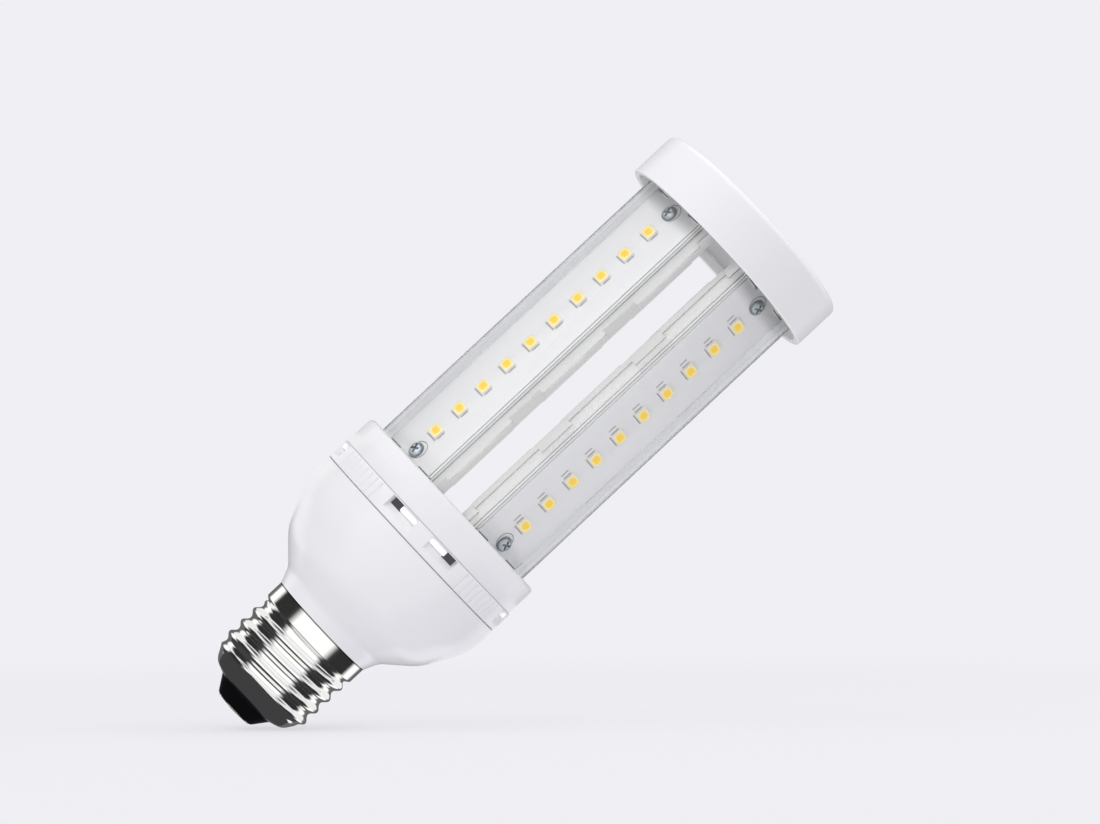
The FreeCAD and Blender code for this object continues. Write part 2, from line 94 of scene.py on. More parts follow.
class Nodes:
    """Node tree in the making, with short ways to add to it."""

    def __init__(self, tree: NodeTree) -> None:
        """Takes the tree."""
        self.tree = tree

    def feed(self, node: Node, inputs: dict[str | int, Value]) -> None:
        """Links sockets to a node's inputs, or sets plain values on them.

        Args:
            node: Node to feed.
            inputs: Sockets and values by input. A colour comes without its alpha.
        """
        for label, value in inputs.items():
            socket = node.inputs[label]
            if isinstance(value, NodeSocket):
                self.tree.links.new(value, socket)
            else:
                socket.default_value = (*value, 1.0) if socket.type == "RGBA" else value

    def add(self, kind: str, inputs: dict[str | int, Value], **settings: object) -> Node:
        """Adds a node.

        Args:
            kind: End of the name of the node's type.
            inputs: What its inputs get.
            settings: Values of its properties.

        Returns:
            The node.
        """
        node = self.tree.nodes.new(f"ShaderNode{kind}")
        for name, value in settings.items():
            setattr(node, name, value)
        self.feed(node, inputs)
        return node

    def place(self) -> NodeSocket:
        """Place in the piece's own frame, in metres."""
        return self.add("TexCoord", {}).outputs["Object"]

    def parts(self) -> NodeSocket:
        """Outputs with the place's three parts, by axis."""
        return self.add("SeparateXYZ", {0: self.place()}).outputs

    def math(self, operation: str, *operands: Value) -> NodeSocket:
        """Result of a sum on its operands."""
        return self.add("Math", dict(enumerate(operands)), operation=operation).outputs[0]

    def scale(self, colour: Value, share: Value) -> NodeSocket:
        """A colour times a share."""
        return self.add("VectorMath", {0: colour, "Scale": share}, operation="SCALE").outputs[0]

    def length(self, place: Value) -> NodeSocket:
        """Distance of a place from the origin."""
        return self.add("VectorMath", {0: place}, operation="LENGTH").outputs["Value"]

    def noise(self, place: NodeSocket, scale: Value, detail: float = 2.0) -> NodeSocket:
        """Noise from 0 to 1."""
        return self.add("TexNoise", {"Vector": place, "Scale": scale, "Detail": detail}).outputs["Fac"]

    def fade(
        self, value: NodeSocket, low: Value, high: Value, start: float = 0.0, end: float = 1.0
    ) -> NodeSocket:
        """Smooth step of a value, from start at low to end at high."""
        inputs = {"Value": value, "From Min": low, "From Max": high, "To Min": start, "To Max": end}
        return self.add("MapRange", inputs, interpolation_type="SMOOTHSTEP").outputs["Result"]

    def ramp(self, share: NodeSocket, stops: Stops) -> NodeSocket:
        """Colour that follows a share.

        Args:
            share: Socket with the share, from 0 to 1.
            stops: Shares and colours, in order.

        Returns:
            Socket with the colour.
        """
        node = self.add("ValToRGB", {"Fac": share})
        elements = node.color_ramp.elements
        for element, (position, colour) in zip(elements, (stops[0], stops[-1])):
            element.position = position
            element.color = (*colour, 1.0)
        for position, colour in stops[1:-1]:
            elements.new(position).color = (*colour, 1.0)
        return node.outputs["Color"]


def grey(tones: tuple[Point, ...], turn: float, start: float = 0.0) -> Stops:
    """Ramp stops of grey tones by degrees of a turn, from a share at 0 degrees."""
    return [(start + degrees / turn, (tone, tone, tone)) for degrees, tone in tones]


class Effect(Nodes):
    """Shared node group in the making."""

    def __init__(self, name: str, **inputs: float | Colour) -> None:
        """Makes the group.

        Args:
            name: Name of the group.
            inputs: Default values by input.
        """
        super().__init__(bpy.data.node_groups.new(name, "ShaderNodeTree"))
        for label, value in inputs.items():
            plain = isinstance(value, float)
            socket = self.socket(label, "INPUT", plain)
            socket.default_value = value if plain else (*value, 1.0)
        self.given = self.tree.nodes.new("NodeGroupInput").outputs

    def socket(self, label: str, way: str, plain: bool) -> NodeTreeInterfaceSocket:
        """Adds a socket for a plain number or a colour to the group."""
        kind = "NodeSocketFloat" if plain else "NodeSocketColor"
        return self.tree.interface.new_socket(label, in_out=way, socket_type=kind)

    def give(self, **results: NodeSocket) -> NodeTree:
        """Adds the group's outputs.

        Args:
            results: Sockets by output.

        Returns:
            The finished group.
        """
        for label, result in results.items():
            self.socket(label, "OUTPUT", result.type == "VALUE")
        self.feed(self.tree.nodes.new("NodeGroupOutput"), results)
        return self.tree


def moulded_surface() -> NodeTree:
    """Injection-moulded surface: faint clouds of tone, uneven gloss and a very fine ripple.

    Returns:
        The node group.
    """
    effect = Effect(
        "moulded_surface", Colour=(0.8, 0.8, 0.8), Tone=0.03, Gloss=0.3, Spread=0.06, Scale=60.0, Ripple=0.4
    )
    given, place = effect.given, effect.place()
    clouds = effect.math("SUBTRACT", effect.noise(place, given["Scale"], detail=3.0), 0.5)
    tone = effect.math("MULTIPLY_ADD", clouds, given["Tone"], 1.0)
    return effect.give(
        Colour=effect.scale(given["Colour"], tone),
        Roughness=effect.math("MULTIPLY_ADD", clouds, given["Spread"], given["Gloss"]),
        Height=effect.math("MULTIPLY", effect.noise(place, RIPPLE_SCALE), given["Ripple"]),
    )


def drawn_metal() -> NodeTree:
    """Drawn and plated sheet: fine lines round the axis and faint stains in the gloss.

    Returns:
        The node group.
    """
    effect = Effect("drawn_metal", Colour=(0.8, 0.8, 0.8), Stain=0.05, Gloss=0.1, Spread=0.08, Lines=1.0)
    given, place = effect.given, effect.place()
    squeezed = effect.add("Mapping", {"Vector": place, "Scale": LINE_SCALE}).outputs["Vector"]
    stains = effect.noise(place, STAIN_SCALE, detail=4.0)
    tone = effect.math("MULTIPLY_ADD", stains, effect.math("MULTIPLY", given["Stain"], -1.0), 1.0)
    return effect.give(
        Colour=effect.scale(given["Colour"], tone),
        Roughness=effect.math("MULTIPLY_ADD", stains, given["Spread"], given["Gloss"]),
        Height=effect.math("MULTIPLY", effect.noise(squeezed, 1.0), given["Lines"]),
    )


def height_band() -> NodeTree:
    """Soft band round the axis at one height, 1 in its middle and 0 outside.

    Returns:
        The node group.
    """
    effect = Effect("height_band", Level=0.05, Half=0.0001)
    away = effect.math("SUBTRACT", effect.parts()["Z"], effect.given["Level"])
    return effect.give(Mask=effect.fade(effect.math("ABSOLUTE", away), 0.0, effect.given["Half"], 1.0, 0.0))


def channel_place() -> NodeTree:
    """Place on the nearest column: metres out from the axis and aside from its middle plane.

    Returns:
        The node group.
    """
    effect = Effect("channel_place")
    folded = effect.add("VectorMath", {0: effect.place()}, operation="ABSOLUTE").outputs[0]
    results = {}
    for label, way in (("Out", 1.0), ("Aside", -1.0)):
        direction = (math.sqrt(0.5), way * math.sqrt(0.5), 0.0)
        along = effect.add("VectorMath", {0: folded, 1: direction}, operation="DOT_PRODUCT").outputs["Value"]
        results[label] = effect.math("ABSOLUTE", along)
    return effect.give(**results)


@dataclass(frozen=True)
class Effects:
    """Node groups that several finishes use, each built once."""

    moulding: NodeTree = field(default_factory=moulded_surface)
    drawing: NodeTree = field(default_factory=drawn_metal)
    band: NodeTree = field(default_factory=height_band)
    channel: NodeTree = field(default_factory=channel_place)


class Recipe(Nodes):
    """Material in the making."""

    def __init__(self, name: str, effects: Effects | None = None) -> None:
        """Makes a node material.

        Args:
            name: Name of the material.
            effects: Shared node groups, where it uses them.
        """
        self.material = bpy.data.materials.new(name)
        self.material.use_nodes = True
        super().__init__(self.material.node_tree)
        self.shader = self.tree.nodes["Principled BSDF"]
        self.effects = effects

    def group(self, group: NodeTree, **inputs: Value) -> Node:
        """Node of a shared group, with what its inputs get."""
        return self.add("Group", inputs, node_tree=group)

    def shade(self, **inputs: Value) -> None:
        """Feeds the shader's inputs, with underscores for the spaces in their names."""
        self.feed(self.shader, {label.replace("_", " "): value for label, value in inputs.items()})

    def relief(self, effect: Node, depth: float) -> None:
        """Gives the shader an effect's relief, whose full step is depth metres."""
        relief = self.add("Bump", {"Height": effect.outputs["Height"], "Strength": 1.0, "Distance": depth})
        self.shade(Normal=relief.outputs["Normal"])

    def paint(self, effect: Node) -> None:
        """Gives the shader an effect's colour and roughness."""
        self.shade(Base_Color=effect.outputs["Colour"], Roughness=effect.outputs["Roughness"])

    def colour(self) -> NodeSocket:
        """Socket that feeds the shader's colour."""
        return self.shader.inputs["Base Color"].links[0].from_socket

    def band(self, level: float, half: float) -> NodeSocket:
        """Mask of a soft band at a height, in millimetres."""
        return self.group(self.effects.band, Level=level * MM, Half=half * MM).outputs["Mask"]

    def banded(self, colour: NodeSocket, bands: tuple[Corner, ...]) -> NodeSocket:
        """Darkens a colour in soft bands, or brightens it where a depth is negative, as painted shade and
        painted highlight.

        Args:
            colour: Socket of the colour.
            bands: Height and half width in millimetres, and depth as a share, of each band.

        Returns:
            Socket of the darkened colour.
        """
        for level, half, depth in bands:
            colour = self.scale(colour, self.math("MULTIPLY_ADD", self.band(level, half), -depth, 1.0))
        return colour

    def see_through(self, share: NodeSocket, colour: Colour = (1.0, 1.0, 1.0)) -> None:
        """Lets what lies behind show through.

        Args:
            share: Socket with the share, from 0 to 1.
            colour: Colour that it shows in.
        """
        through = self.add("BsdfTransparent", {"Color": colour}).outputs[0]
        mix = self.add("MixShader", {"Fac": share, 1: self.shader.outputs[0], 2: through})
        self.feed(self.tree.nodes["Material Output"], {"Surface": mix.outputs[0]})


# Finishes


@dataclass(frozen=True)
class Coating(ABC):
    """Any finish."""

    name: str
    colour: Colour

    def build(self, effects: Effects) -> Material:
        """Builds the material.

        Args:
            effects: Shared node groups.

        Returns:
            The material.
        """
        recipe = Recipe(self.name, effects)
        self.dress(recipe)
        return recipe.material

    @abstractmethod
    def dress(self, recipe: Recipe) -> None:
        """Adds the finish's own nodes to the recipe."""


@dataclass(frozen=True)
class MouldedPlastic(Coating):
    """Opaque moulded plastic."""

    gloss: float = 0.3
    spread: float = 0.06
    tone: float = 0.02
    scale: float = 60.0
    ripple: float = 0.4
    depth: float = 2e-6
    specular: float = 0.5
    # Painted glow: emission that lifts a part out of its shade.
    glow: float = 0.0

    def dress(self, recipe: Recipe) -> None:
        """Adds uneven tone and gloss and a fine ripple.

        Args:
            recipe: Material in the making.
        """
        inputs = {"Colour": self.colour, "Tone": self.tone, "Gloss": self.gloss, "Spread": self.spread}
        effect = recipe.group(recipe.effects.moulding, Scale=self.scale, Ripple=self.ripple, **inputs)
        recipe.paint(effect)
        recipe.relief(effect, self.depth)
        recipe.shade(Specular_IOR_Level=self.specular, Emission_Strength=self.glow)


@dataclass(frozen=True)
class PaintedBandPlastic(MouldedPlastic):
    """Moulded plastic with soft bands of painted shade or painted highlight at given heights, and a faint
    painted glow inside.
    """

    # Painted shade where the depth is positive, painted highlight where it is negative: height, half width
    # and depth of each band.
    painted_bands: tuple[Corner, ...] = ()
    # Painted glow: height, half width and strength of each band, within the radius inside, in the colour
    # light.
    painted_glows: tuple[Corner, ...] = ()
    inside: float = 24.9
    light: Colour = (0.92, 0.9, 1.0)
    gloss: float = 0.22
    tone: float = 0.012
    specular: float = 0.35

    def dress(self, recipe: Recipe) -> None:
        """Adds the bands of painted shade and painted highlight, and within a radius a painted glow for light
        leaking in.

        Args:
            recipe: Material in the making.
        """
        super().dress(recipe)
        recipe.shade(Base_Color=recipe.banded(recipe.colour(), self.painted_bands))
        if not self.painted_glows:
            return
        # Painted glow: emission that stands for light leaking in through windows and gaps.
        flat = recipe.add("VectorMath", {0: recipe.place(), 1: (1.0, 1.0, 0.0)}, operation="MULTIPLY")
        within = recipe.math("LESS_THAN", recipe.length(flat.outputs[0]), self.inside * MM)
        share = 0.0
        for level, half, strength in self.painted_glows:
            share = recipe.math("MULTIPLY_ADD", recipe.band(level, half), strength, share)
        painted_leak_glow = recipe.scale(self.light, recipe.math("MULTIPLY", share, within))
        recipe.shade(Emission_Color=painted_leak_glow, Emission_Strength=1.0)


@dataclass(frozen=True)
class PlatePlastic(MouldedPlastic):
    """Milky plastic with a painted glow for the light inside a column, fainter on its lugs."""

    inside: float = 10.1
    edge: float = 0.2
    light: float = 0.36
    lug_light: float = 0.04
    light_colour: Colour = (1.0, 1.0, 0.98)

    def dress(self, recipe: Recipe) -> None:
        """Adds the painted glow.

        Args:
            recipe: Material in the making.
        """
        super().dress(recipe)
        aside = recipe.group(recipe.effects.channel).outputs["Aside"]
        ends = (self.inside - self.edge) * MM, self.inside * MM
        # Painted glow: emission by the distance aside, fainter on the lugs.
        glow = recipe.fade(aside, *ends, self.light, self.lug_light)
        recipe.shade(Emission_Color=recipe.scale(self.light_colour, glow), Emission_Strength=1.0)


@dataclass(frozen=True)
class PlatedMetal(Coating):
    """Plated or bare metal with faint drawing lines."""

    gloss: float = 0.1
    spread: float = 0.08
    stain: float = 0.05
    lines: float = 1.0
    depth: float = 1e-6

    def dress(self, recipe: Recipe) -> None:
        """Adds stains and drawing lines.

        Args:
            recipe: Material in the making.
        """
        inputs = {"Colour": self.colour, "Gloss": self.gloss, "Spread": self.spread}
        effect = recipe.group(recipe.effects.drawing, Stain=self.stain, Lines=self.lines, **inputs)
        recipe.paint(effect)
        recipe.relief(effect, self.depth)
        recipe.shade(Metallic=1.0)


@dataclass(frozen=True)
class RimmedMetal(PlatedMetal):
    """Plated metal with painted shade: a dark band where it meets the next piece, for the shadow in the gap.
    """

    gap_shade: float = 26.9
    gap_shade_half: float = 0.34
    gap_shade_colour: Colour = (0.02, 0.02, 0.02)

    def dress(self, recipe: Recipe) -> None:
        """Adds the painted shade of the gap.

        Args:
            recipe: Material in the making.
        """
        super().dress(recipe)
        gap_shade = recipe.band(self.gap_shade, self.gap_shade_half)
        inputs = {"Factor": gap_shade, "A": recipe.colour(), "B": self.gap_shade_colour}
        recipe.shade(Base_Color=recipe.add("Mix", inputs, data_type="RGBA").outputs["Result"])


@dataclass(frozen=True)
class ScrewMetal(PlatedMetal):
    """Plated metal with painted shade round the foot of a screw's head and in its recess."""

    foot: float = 19.3
    top: float = 20.1
    shadow: float = 0.26

    def dress(self, recipe: Recipe) -> None:
        """Adds the painted shade at the foot.

        Args:
            recipe: Material in the making.
        """
        super().dress(recipe)
        out = recipe.group(recipe.effects.channel).outputs["Out"]
        # Painted shade: darker towards the foot of the head and in the recess.
        share = recipe.fade(out, self.foot * MM, self.top * MM, self.shadow)
        recipe.shade(Base_Color=recipe.scale(recipe.colour(), share))


@dataclass(frozen=True)
class ClearPlastic(Coating):
    """Clear moulded plastic that lets lamps and indirect light through, with painted shade below the cap."""

    roughness: float = 0.03
    tone: float = 0.03
    spread: float = 0.02
    ior: float = 1.49
    corner_out: float = 20.25
    corner_aside: float = 10.15
    # Painted shade below the cap: height, half width and depth.
    shadow: Corner = (145.5, 4.4, 0.25)
    frost: tuple[Point, ...] = ((-89.0, 0.1), (-84.0, 0.5), (-14.0, 0.5), (-8.0, 0.1))
    # Painted shade on the side walls.
    side_painted_shade: float = 0.74
    front_tone: float = 0.93
    # Painted dark lines round the corners, where the clear corners look dark: degrees of the turn and tone.
    lines: tuple[Point, ...] = (
        (-13.0, 0.85), (1.0, 0.1), (18.0, 0.85), (31.0, 0.9), (45.0, 0.1),
        (59.0, 0.95), (72.0, 0.95), (88.0, 0.1), (102.0, 1.0),
    )

    def dress(self, recipe: Recipe) -> None:
        """Adds the frosted corners, painted dark lines and painted shade on the walls round them, and the
        see-through plastic.

        Args:
            recipe: Material in the making.
        """
        turn = self.corner_turn(recipe)
        gloss = self.along(recipe, turn, self.roughness, self.roughness, self.frost)
        inputs = {"Colour": self.colour, "Gloss": gloss}
        recipe.paint(recipe.group(recipe.effects.moulding, Tone=self.tone, Spread=self.spread, **inputs))
        lines = self.along(recipe, turn, self.side_painted_shade, self.front_tone, self.lines)
        # Painted lines and painted shade darken the plastic's colour.
        tone = recipe.banded(recipe.scale(recipe.colour(), lines), (self.shadow,))
        recipe.shade(Base_Color=tone, Transmission_Weight=1.0, IOR=self.ior)
        path = recipe.add("LightPath", {}).outputs
        recipe.see_through(recipe.math("MAXIMUM", path["Is Shadow Ray"], path["Is Diffuse Ray"]), self.colour)

    def corner_turn(self, recipe: Recipe) -> NodeSocket:
        """Angle round the wall's inner corner, from 0 to 1, with 0.5 straight aside.

        Args:
            recipe: Material in the making.

        Returns:
            Socket with the share of the full turn.
        """
        place = recipe.group(recipe.effects.channel).outputs
        out = recipe.math("SUBTRACT", place["Out"], self.corner_out * MM)
        aside = recipe.math("SUBTRACT", place["Aside"], self.corner_aside * MM)
        return recipe.math("MULTIPLY_ADD", recipe.math("ARCTAN2", out, aside), 1.0 / math.tau, 0.5)

    def along(
        self, recipe: Recipe, turn: NodeSocket, side: float, front: float, tones: tuple[Point, ...]
    ) -> NodeSocket:
        """Value round the corner by its turn: on the side walls, by degrees, and on the front wall."""
        return recipe.ramp(turn, grey(((-180.0, side), *tones, (180.0, front)), 360.0, 0.5))


@dataclass(frozen=True)
class PhosphorGel(Coating):
    """Yellow phosphor in silicone, deeper in the middle and pale at the rim of its dish, with a faint painted
    glow.
    """

    middle: Colour
    rim: Colour
    middle_reach: float = 0.62
    rim_reach: float = 0.92
    tone: float = 0.12
    gloss: float = 0.32
    scale: float = 900.0
    glow: float = 0.2

    def dress(self, recipe: Recipe) -> None:
        """Adds the colours by the piece's reach attribute, 0 in the middle and 1 at the rim.

        Args:
            recipe: Material in the making.
        """
        reach = recipe.add("Attribute", {}, attribute_name="reach").outputs["Fac"]
        stops = [(0.0, self.middle), (self.middle_reach, self.colour), (self.rim_reach, self.rim)]
        inputs = {"Colour": recipe.ramp(reach, stops), "Tone": self.tone, "Gloss": self.gloss}
        recipe.paint(recipe.group(recipe.effects.moulding, Scale=self.scale, **inputs))
        # Painted glow: the phosphor shines a little though the LEDs are off.
        recipe.shade(Emission_Color=recipe.colour(), Emission_Strength=self.glow)


WHITE = srgb(244, 244, 246)


class Finish(Enum):
    """Finishes of the lamp's pieces."""

    # Painted shade in the seam below the grip ring and in the seam above it.
    HOUSING = PaintedBandPlastic("white_moulded_plastic", WHITE, painted_bands=((53.65, 0.2, 0.5), (58.8, 0.2, 0.42)))
    # Painted shade in the seam under the collar, and a painted glow on what shows in the ring's windows.
    COLLAR = PaintedBandPlastic(
        "white_collar_plastic",
        WHITE,
        painted_bands=((58.8, 0.2, 0.42),),
        painted_glows=((57.6, 1.6, 0.3),),
        inside=26.2,
        light=(1.0, 1.0, 1.0),
    )
    # Painted highlights along the cap's lower edge and its top rounding, and a faint painted glow inside the
    # cap.
    CAP = PaintedBandPlastic(
        "white_cap_plastic",
        WHITE,
        painted_bands=((146.1, 0.3, -0.1), (157.9, 0.8, -0.05)),
        painted_glows=((151.0, 8.0, 0.1),),
    )
    # Painted shade: a dark sheet for the shade seen through the ring's windows, with a faint painted glow.
    SHIELD = MouldedPlastic(
        "painted_window_shade", srgb(84, 82, 94), gloss=0.5, tone=0.1, specular=0.2, glow=0.06
    )
    # Painted shade: grey for the shade under the cap, lifted by a faint painted glow.
    CARRIER = MouldedPlastic("painted_shade_carrier_plastic", srgb(170, 169, 172), gloss=0.5, glow=0.03)
    PLATE = PlatePlastic("milky_plate_plastic", srgb(218, 218, 216), gloss=0.35, tone=0.04)
    # Painted shade on the board's upper end, below the cap.
    BOARD = PaintedBandPlastic(
        "white_solder_mask",
        srgb(248, 247, 247),
        gloss=0.4,
        tone=0.03,
        scale=220.0,
        specular=0.5,
        painted_bands=((144.6, 3.2, 0.2),),
    )
    LED_CASE = MouldedPlastic("white_led_case", srgb(250, 246, 232), gloss=0.35, tone=0.04, scale=400.0)
    PRINT = MouldedPlastic("grey_print", srgb(84, 86, 90), gloss=0.5)
    # Solder pad edges, partly painted shadow of the LED packages.
    PAD = MouldedPlastic("pad_edge_and_painted_shadow", srgb(170, 162, 167), gloss=0.4)
    INSULATOR = MouldedPlastic("black_insulator_glaze", srgb(12, 12, 14), gloss=0.28, tone=0.3, specular=0.12)
    # Painted shade of the gap under the bowl, as a dark band at the shell's rim.
    SHELL = RimmedMetal("nickel_plate", (0.95, 0.945, 0.93), gloss=0.09, spread=0.04, lines=1.5)
    CONTACT = PlatedMetal("tinned_contact", srgb(206, 200, 188), gloss=0.22, spread=0.2, stain=0.15)
    SCREW = ScrewMetal("zinc_screw", srgb(218, 228, 233), gloss=0.16, spread=0.2, stain=0.3)
    COVER = ClearPlastic("clear_cover_plastic", (0.988, 0.992, 0.992), roughness=0.1)
    PHOSPHOR = PhosphorGel(
        "phosphor_gel", srgb(255, 212, 42), middle=srgb(255, 204, 10), rim=srgb(255, 238, 164)
    )
    LAMINATE = MouldedPlastic("driver_laminate", srgb(176, 158, 104), gloss=0.45, tone=0.1, scale=300.0)
    SLEEVE = MouldedPlastic("black_sleeve", srgb(30, 30, 34), gloss=0.3, tone=0.2)
    TAPE = MouldedPlastic("yellow_tape", srgb(214, 176, 60), gloss=0.35, tone=0.1)
    FILM = MouldedPlastic("film_case", srgb(150, 52, 34), gloss=0.25, tone=0.1)
    LEAD = MouldedPlastic("lead_sleeve", srgb(190, 38, 30), gloss=0.4, tone=0.08)


class Paints:
    """Materials of the finishes, each built when it is first used."""

    def __init__(self) -> None:
        """Builds the shared effects."""
        self.effects = Effects()
        self.made: dict[Finish, Material] = {}

    def apply(self, piece: Object, finish: Finish) -> None:
        """Gives a piece its finish alone.

        Args:
            piece: Piece to dress.
            finish: Finish of the whole piece.
        """
        if finish not in self.made:
            self.made[finish] = finish.value.build(self.effects)
        piece.data.materials.clear()
        piece.data.materials.append(self.made[finish])

    def seat(self, piece: Object, finish: Finish, slot: Slot, *nodes: str) -> None:
        """Dresses a piece, and lets it ride on the lamp and stand for its nodes.

        Args:
            piece: Finished piece.
            finish: Finish of the whole piece.
            slot: Slot of the lamp's record. Not used.
            nodes: Nodes of the construction that it stands for.
        """
        self.apply(piece, finish)
        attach(piece, "root")
        if nodes:
            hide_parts(*nodes)
        log.info("%s: %d faces", piece.name, len(piece.data.polygons))


# Bench work


def only(*pieces: Object) -> None:
    """Selects some pieces alone, because an operator acts on all that is selected.

    Args:
        pieces: Pieces to select. The first one becomes active.
    """
    bpy.ops.object.select_all(action="DESELECT")
    for piece in pieces:
        piece.select_set(True)
    bpy.context.view_layer.objects.active = pieces[0]


def start_edit(piece: Object) -> None:
    """Opens a piece in edit mode with all of it selected.

    Args:
        piece: Piece to edit.
    """
    only(piece)
    bpy.ops.object.mode_set(mode="EDIT")
    bpy.ops.mesh.select_mode(type="VERT")
    bpy.ops.mesh.select_all(action="SELECT")


def end_edit() -> None:
    """Goes back to object mode."""
    bpy.ops.object.mode_set(mode="OBJECT")


def weld() -> None:
    """Merges all points that lie together, and leaves everything selected."""
    bpy.ops.mesh.select_all(action="SELECT")
    bpy.ops.mesh.remove_doubles(threshold=MERGE)


def new_piece(name: str) -> Object:
    """The object that an operator has just added, under a name."""
    bpy.context.object.name = name
    return bpy.context.object


def keep_place(piece: Object) -> Object:
    """Applies a piece's move, turn and scale to its mesh, so that the object sits at the origin.

    Args:
        piece: Piece to change.

    Returns:
        The piece.
    """
    only(piece)
    bpy.ops.object.transform_apply(location=True, rotation=True, scale=True)
    return piece


def smooth(piece: Object, degrees: float = 30.0) -> Object:
    """Shades a piece smooth.

    Args:
        piece: Piece to change.
        degrees: Greatest angle between faces that is shaded smooth.

    Returns:
        The piece.
    """
    only(piece)
    bpy.ops.object.shade_smooth_by_angle(angle=math.radians(degrees))
    return piece


def apply_modifier(piece: Object, kind: str, **settings: object) -> Object:
    """Adds a modifier with its settings and applies it.

    Args:
        piece: Piece to change.
        kind: Type of the modifier.
        settings: Values of its properties.

    Returns:
        The piece.
    """
    only(piece)
    modifier = piece.modifiers.new(kind.lower(), kind)
    for name, value in settings.items():
        setattr(modifier, name, value)
    bpy.ops.object.modifier_apply(modifier=modifier.name)
    return piece


def soften(piece: Object, width: float, degrees: float = 35.0) -> Object:
    """Rounds a piece's edges from an angle between faces on, to a width in millimetres."""
    settings = {"limit_method": "ANGLE", "angle_limit": math.radians(degrees), "use_clamp_overlap": True}
    return apply_modifier(piece, "BEVEL", width=width * MM, segments=2, **settings)


def cut(piece: Object, tool: Object) -> None:
    """Cuts a tool out of a piece and deletes the tool."""
    apply_modifier(piece, "BOOLEAN", operation="DIFFERENCE", solver="EXACT", object=tool)
    bpy.data.objects.remove(tool)


def join(pieces: list[Object], name: str) -> Object:
    """Joins pieces.

    Args:
        pieces: Pieces to join. The first one takes the others in.
        name: New name of the joined piece.

    Returns:
        The joined piece.
    """
    only(*pieces)
    bpy.ops.object.join()
    return new_piece(name)


def rounded(corners: tuple[Corner, ...], steps: int = 8) -> list[Point]:
    """Points of an open profile with tangent arcs at its inner corners.

    Args:
        corners: Radius, height and rounding of each corner.
        steps: Chords of each arc.

    Returns:
        Radius and height of each point.
    """
    points = [corners[0][:2]]
    for before, here, after in zip(corners, corners[1:], corners[2:]):
        corner = Vector(here[:2])
        u = Vector(before[:2]) - corner
        v = Vector(after[:2]) - corner
        half = u.angle(v) / 2
        reach = min(here[2] / math.tan(half), ARC_LIMIT * min(u.length, v.length))
        if reach <= 0:
            points.append(here[:2])
            continue
        u.normalize()
        v.normalize()
        radius = reach * math.tan(half)
        centre = corner + (u + v).normalized() * radius / math.sin(half)
        first = corner + u * reach - centre
        last = corner + v * reach - centre
        sweep = first.angle_signed(last)
        for i in range(steps + 1):
            turned = first.copy()
            turned.rotate(Matrix.Rotation(-sweep * i / steps, 2))
            points.append(tuple(centre + turned))
    points.append(corners[-1][:2])
    return points


def turned_piece(name: str, profile: list[Point], steps: int = 144, closed: bool = True) -> Object:
    """Turns a profile about Z.

    Args:
        name: Name of the piece.
        profile: Radius and height of each point, in millimetres.
        steps: Sides of the turned surface.
        closed: Whether the last point joins the first.

    Returns:
        The piece, with its faces outwards.
    """
    bpy.ops.mesh.primitive_plane_add(size=MM)
    piece = new_piece(name)
    start_edit(piece)
    bpy.ops.mesh.merge(type="CENTER")
    places = [Vector((r * MM, 0.0, z * MM)) for r, z in profile]
    bpy.ops.transform.translate(value=places[0])
    for here, there in zip(places, places[1:] + places[:1] * closed):
        bpy.ops.mesh.extrude_vertices_move(TRANSFORM_OT_translate={"value": there - here})
    weld()
    bpy.ops.mesh.spin(steps=steps, angle=math.tau, center=(0, 0, 0), axis=(0, 0, 1))
    weld()
    bpy.ops.mesh.delete_loose(use_verts=True, use_edges=True, use_faces=False)
    bpy.ops.mesh.select_all(action="SELECT")
    bpy.ops.mesh.normals_make_consistent(inside=False)
    end_edit()
    return piece


def box_piece(name: str, low: tuple[float, ...], high: tuple[float, ...]) -> Object:
    """Box between two corners.

    Args:
        name: Name of the piece.
        low: Least coordinates, in millimetres.
        high: Greatest coordinates, in millimetres.

    Returns:
        The piece.
    """
    middle = [(a + b) / 2 * MM for a, b in zip(low, high)]
    bpy.ops.mesh.primitive_cube_add(size=1.0, location=middle)
    piece = new_piece(name)
    piece.scale = [(b - a) * MM for a, b in zip(low, high)]
    return keep_place(piece)


def turned_copy(piece: Object, name: str, degrees: float) -> Object:
    """Copy of a piece with its own mesh, turned about Z.

    Args:
        piece: Piece to copy.
        name: Name of the copy.
        degrees: Angle of the turn.

    Returns:
        The copy.
    """
    only(piece)
    bpy.ops.object.duplicate()
    copy = new_piece(name)
    copy.rotation_euler.z = math.radians(degrees)
    return keep_place(copy)


def hoop(name: str, radii: Point, levels: Point, steps: int = 144) -> Object:
    """Plain hoop about Z, between two radii and two heights in millimetres."""
    (inner, outer), (low, high) = radii, levels
    return turned_piece(name, [(inner, low), (outer, low), (outer, high), (inner, high)], steps)


def softened_node(node: str, width: float) -> Object:
    """Copy of a construction node with its facets merged and its sharp edges rounded.

    Args:
        node: Name of the node.
        width: Width of the rounding, in millimetres.

    Returns:
        The new piece.
    """
    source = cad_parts[node]
    piece = bpy.data.objects.new(f"{node}_finished", source.data.copy())
    bpy.context.scene.collection.objects.link(piece)
    start_edit(piece)
    weld()
    bpy.ops.mesh.dissolve_limited(angle_limit=math.radians(FACET_TURN))
    end_edit()
    return smooth(soften(piece, width))


# Screw base


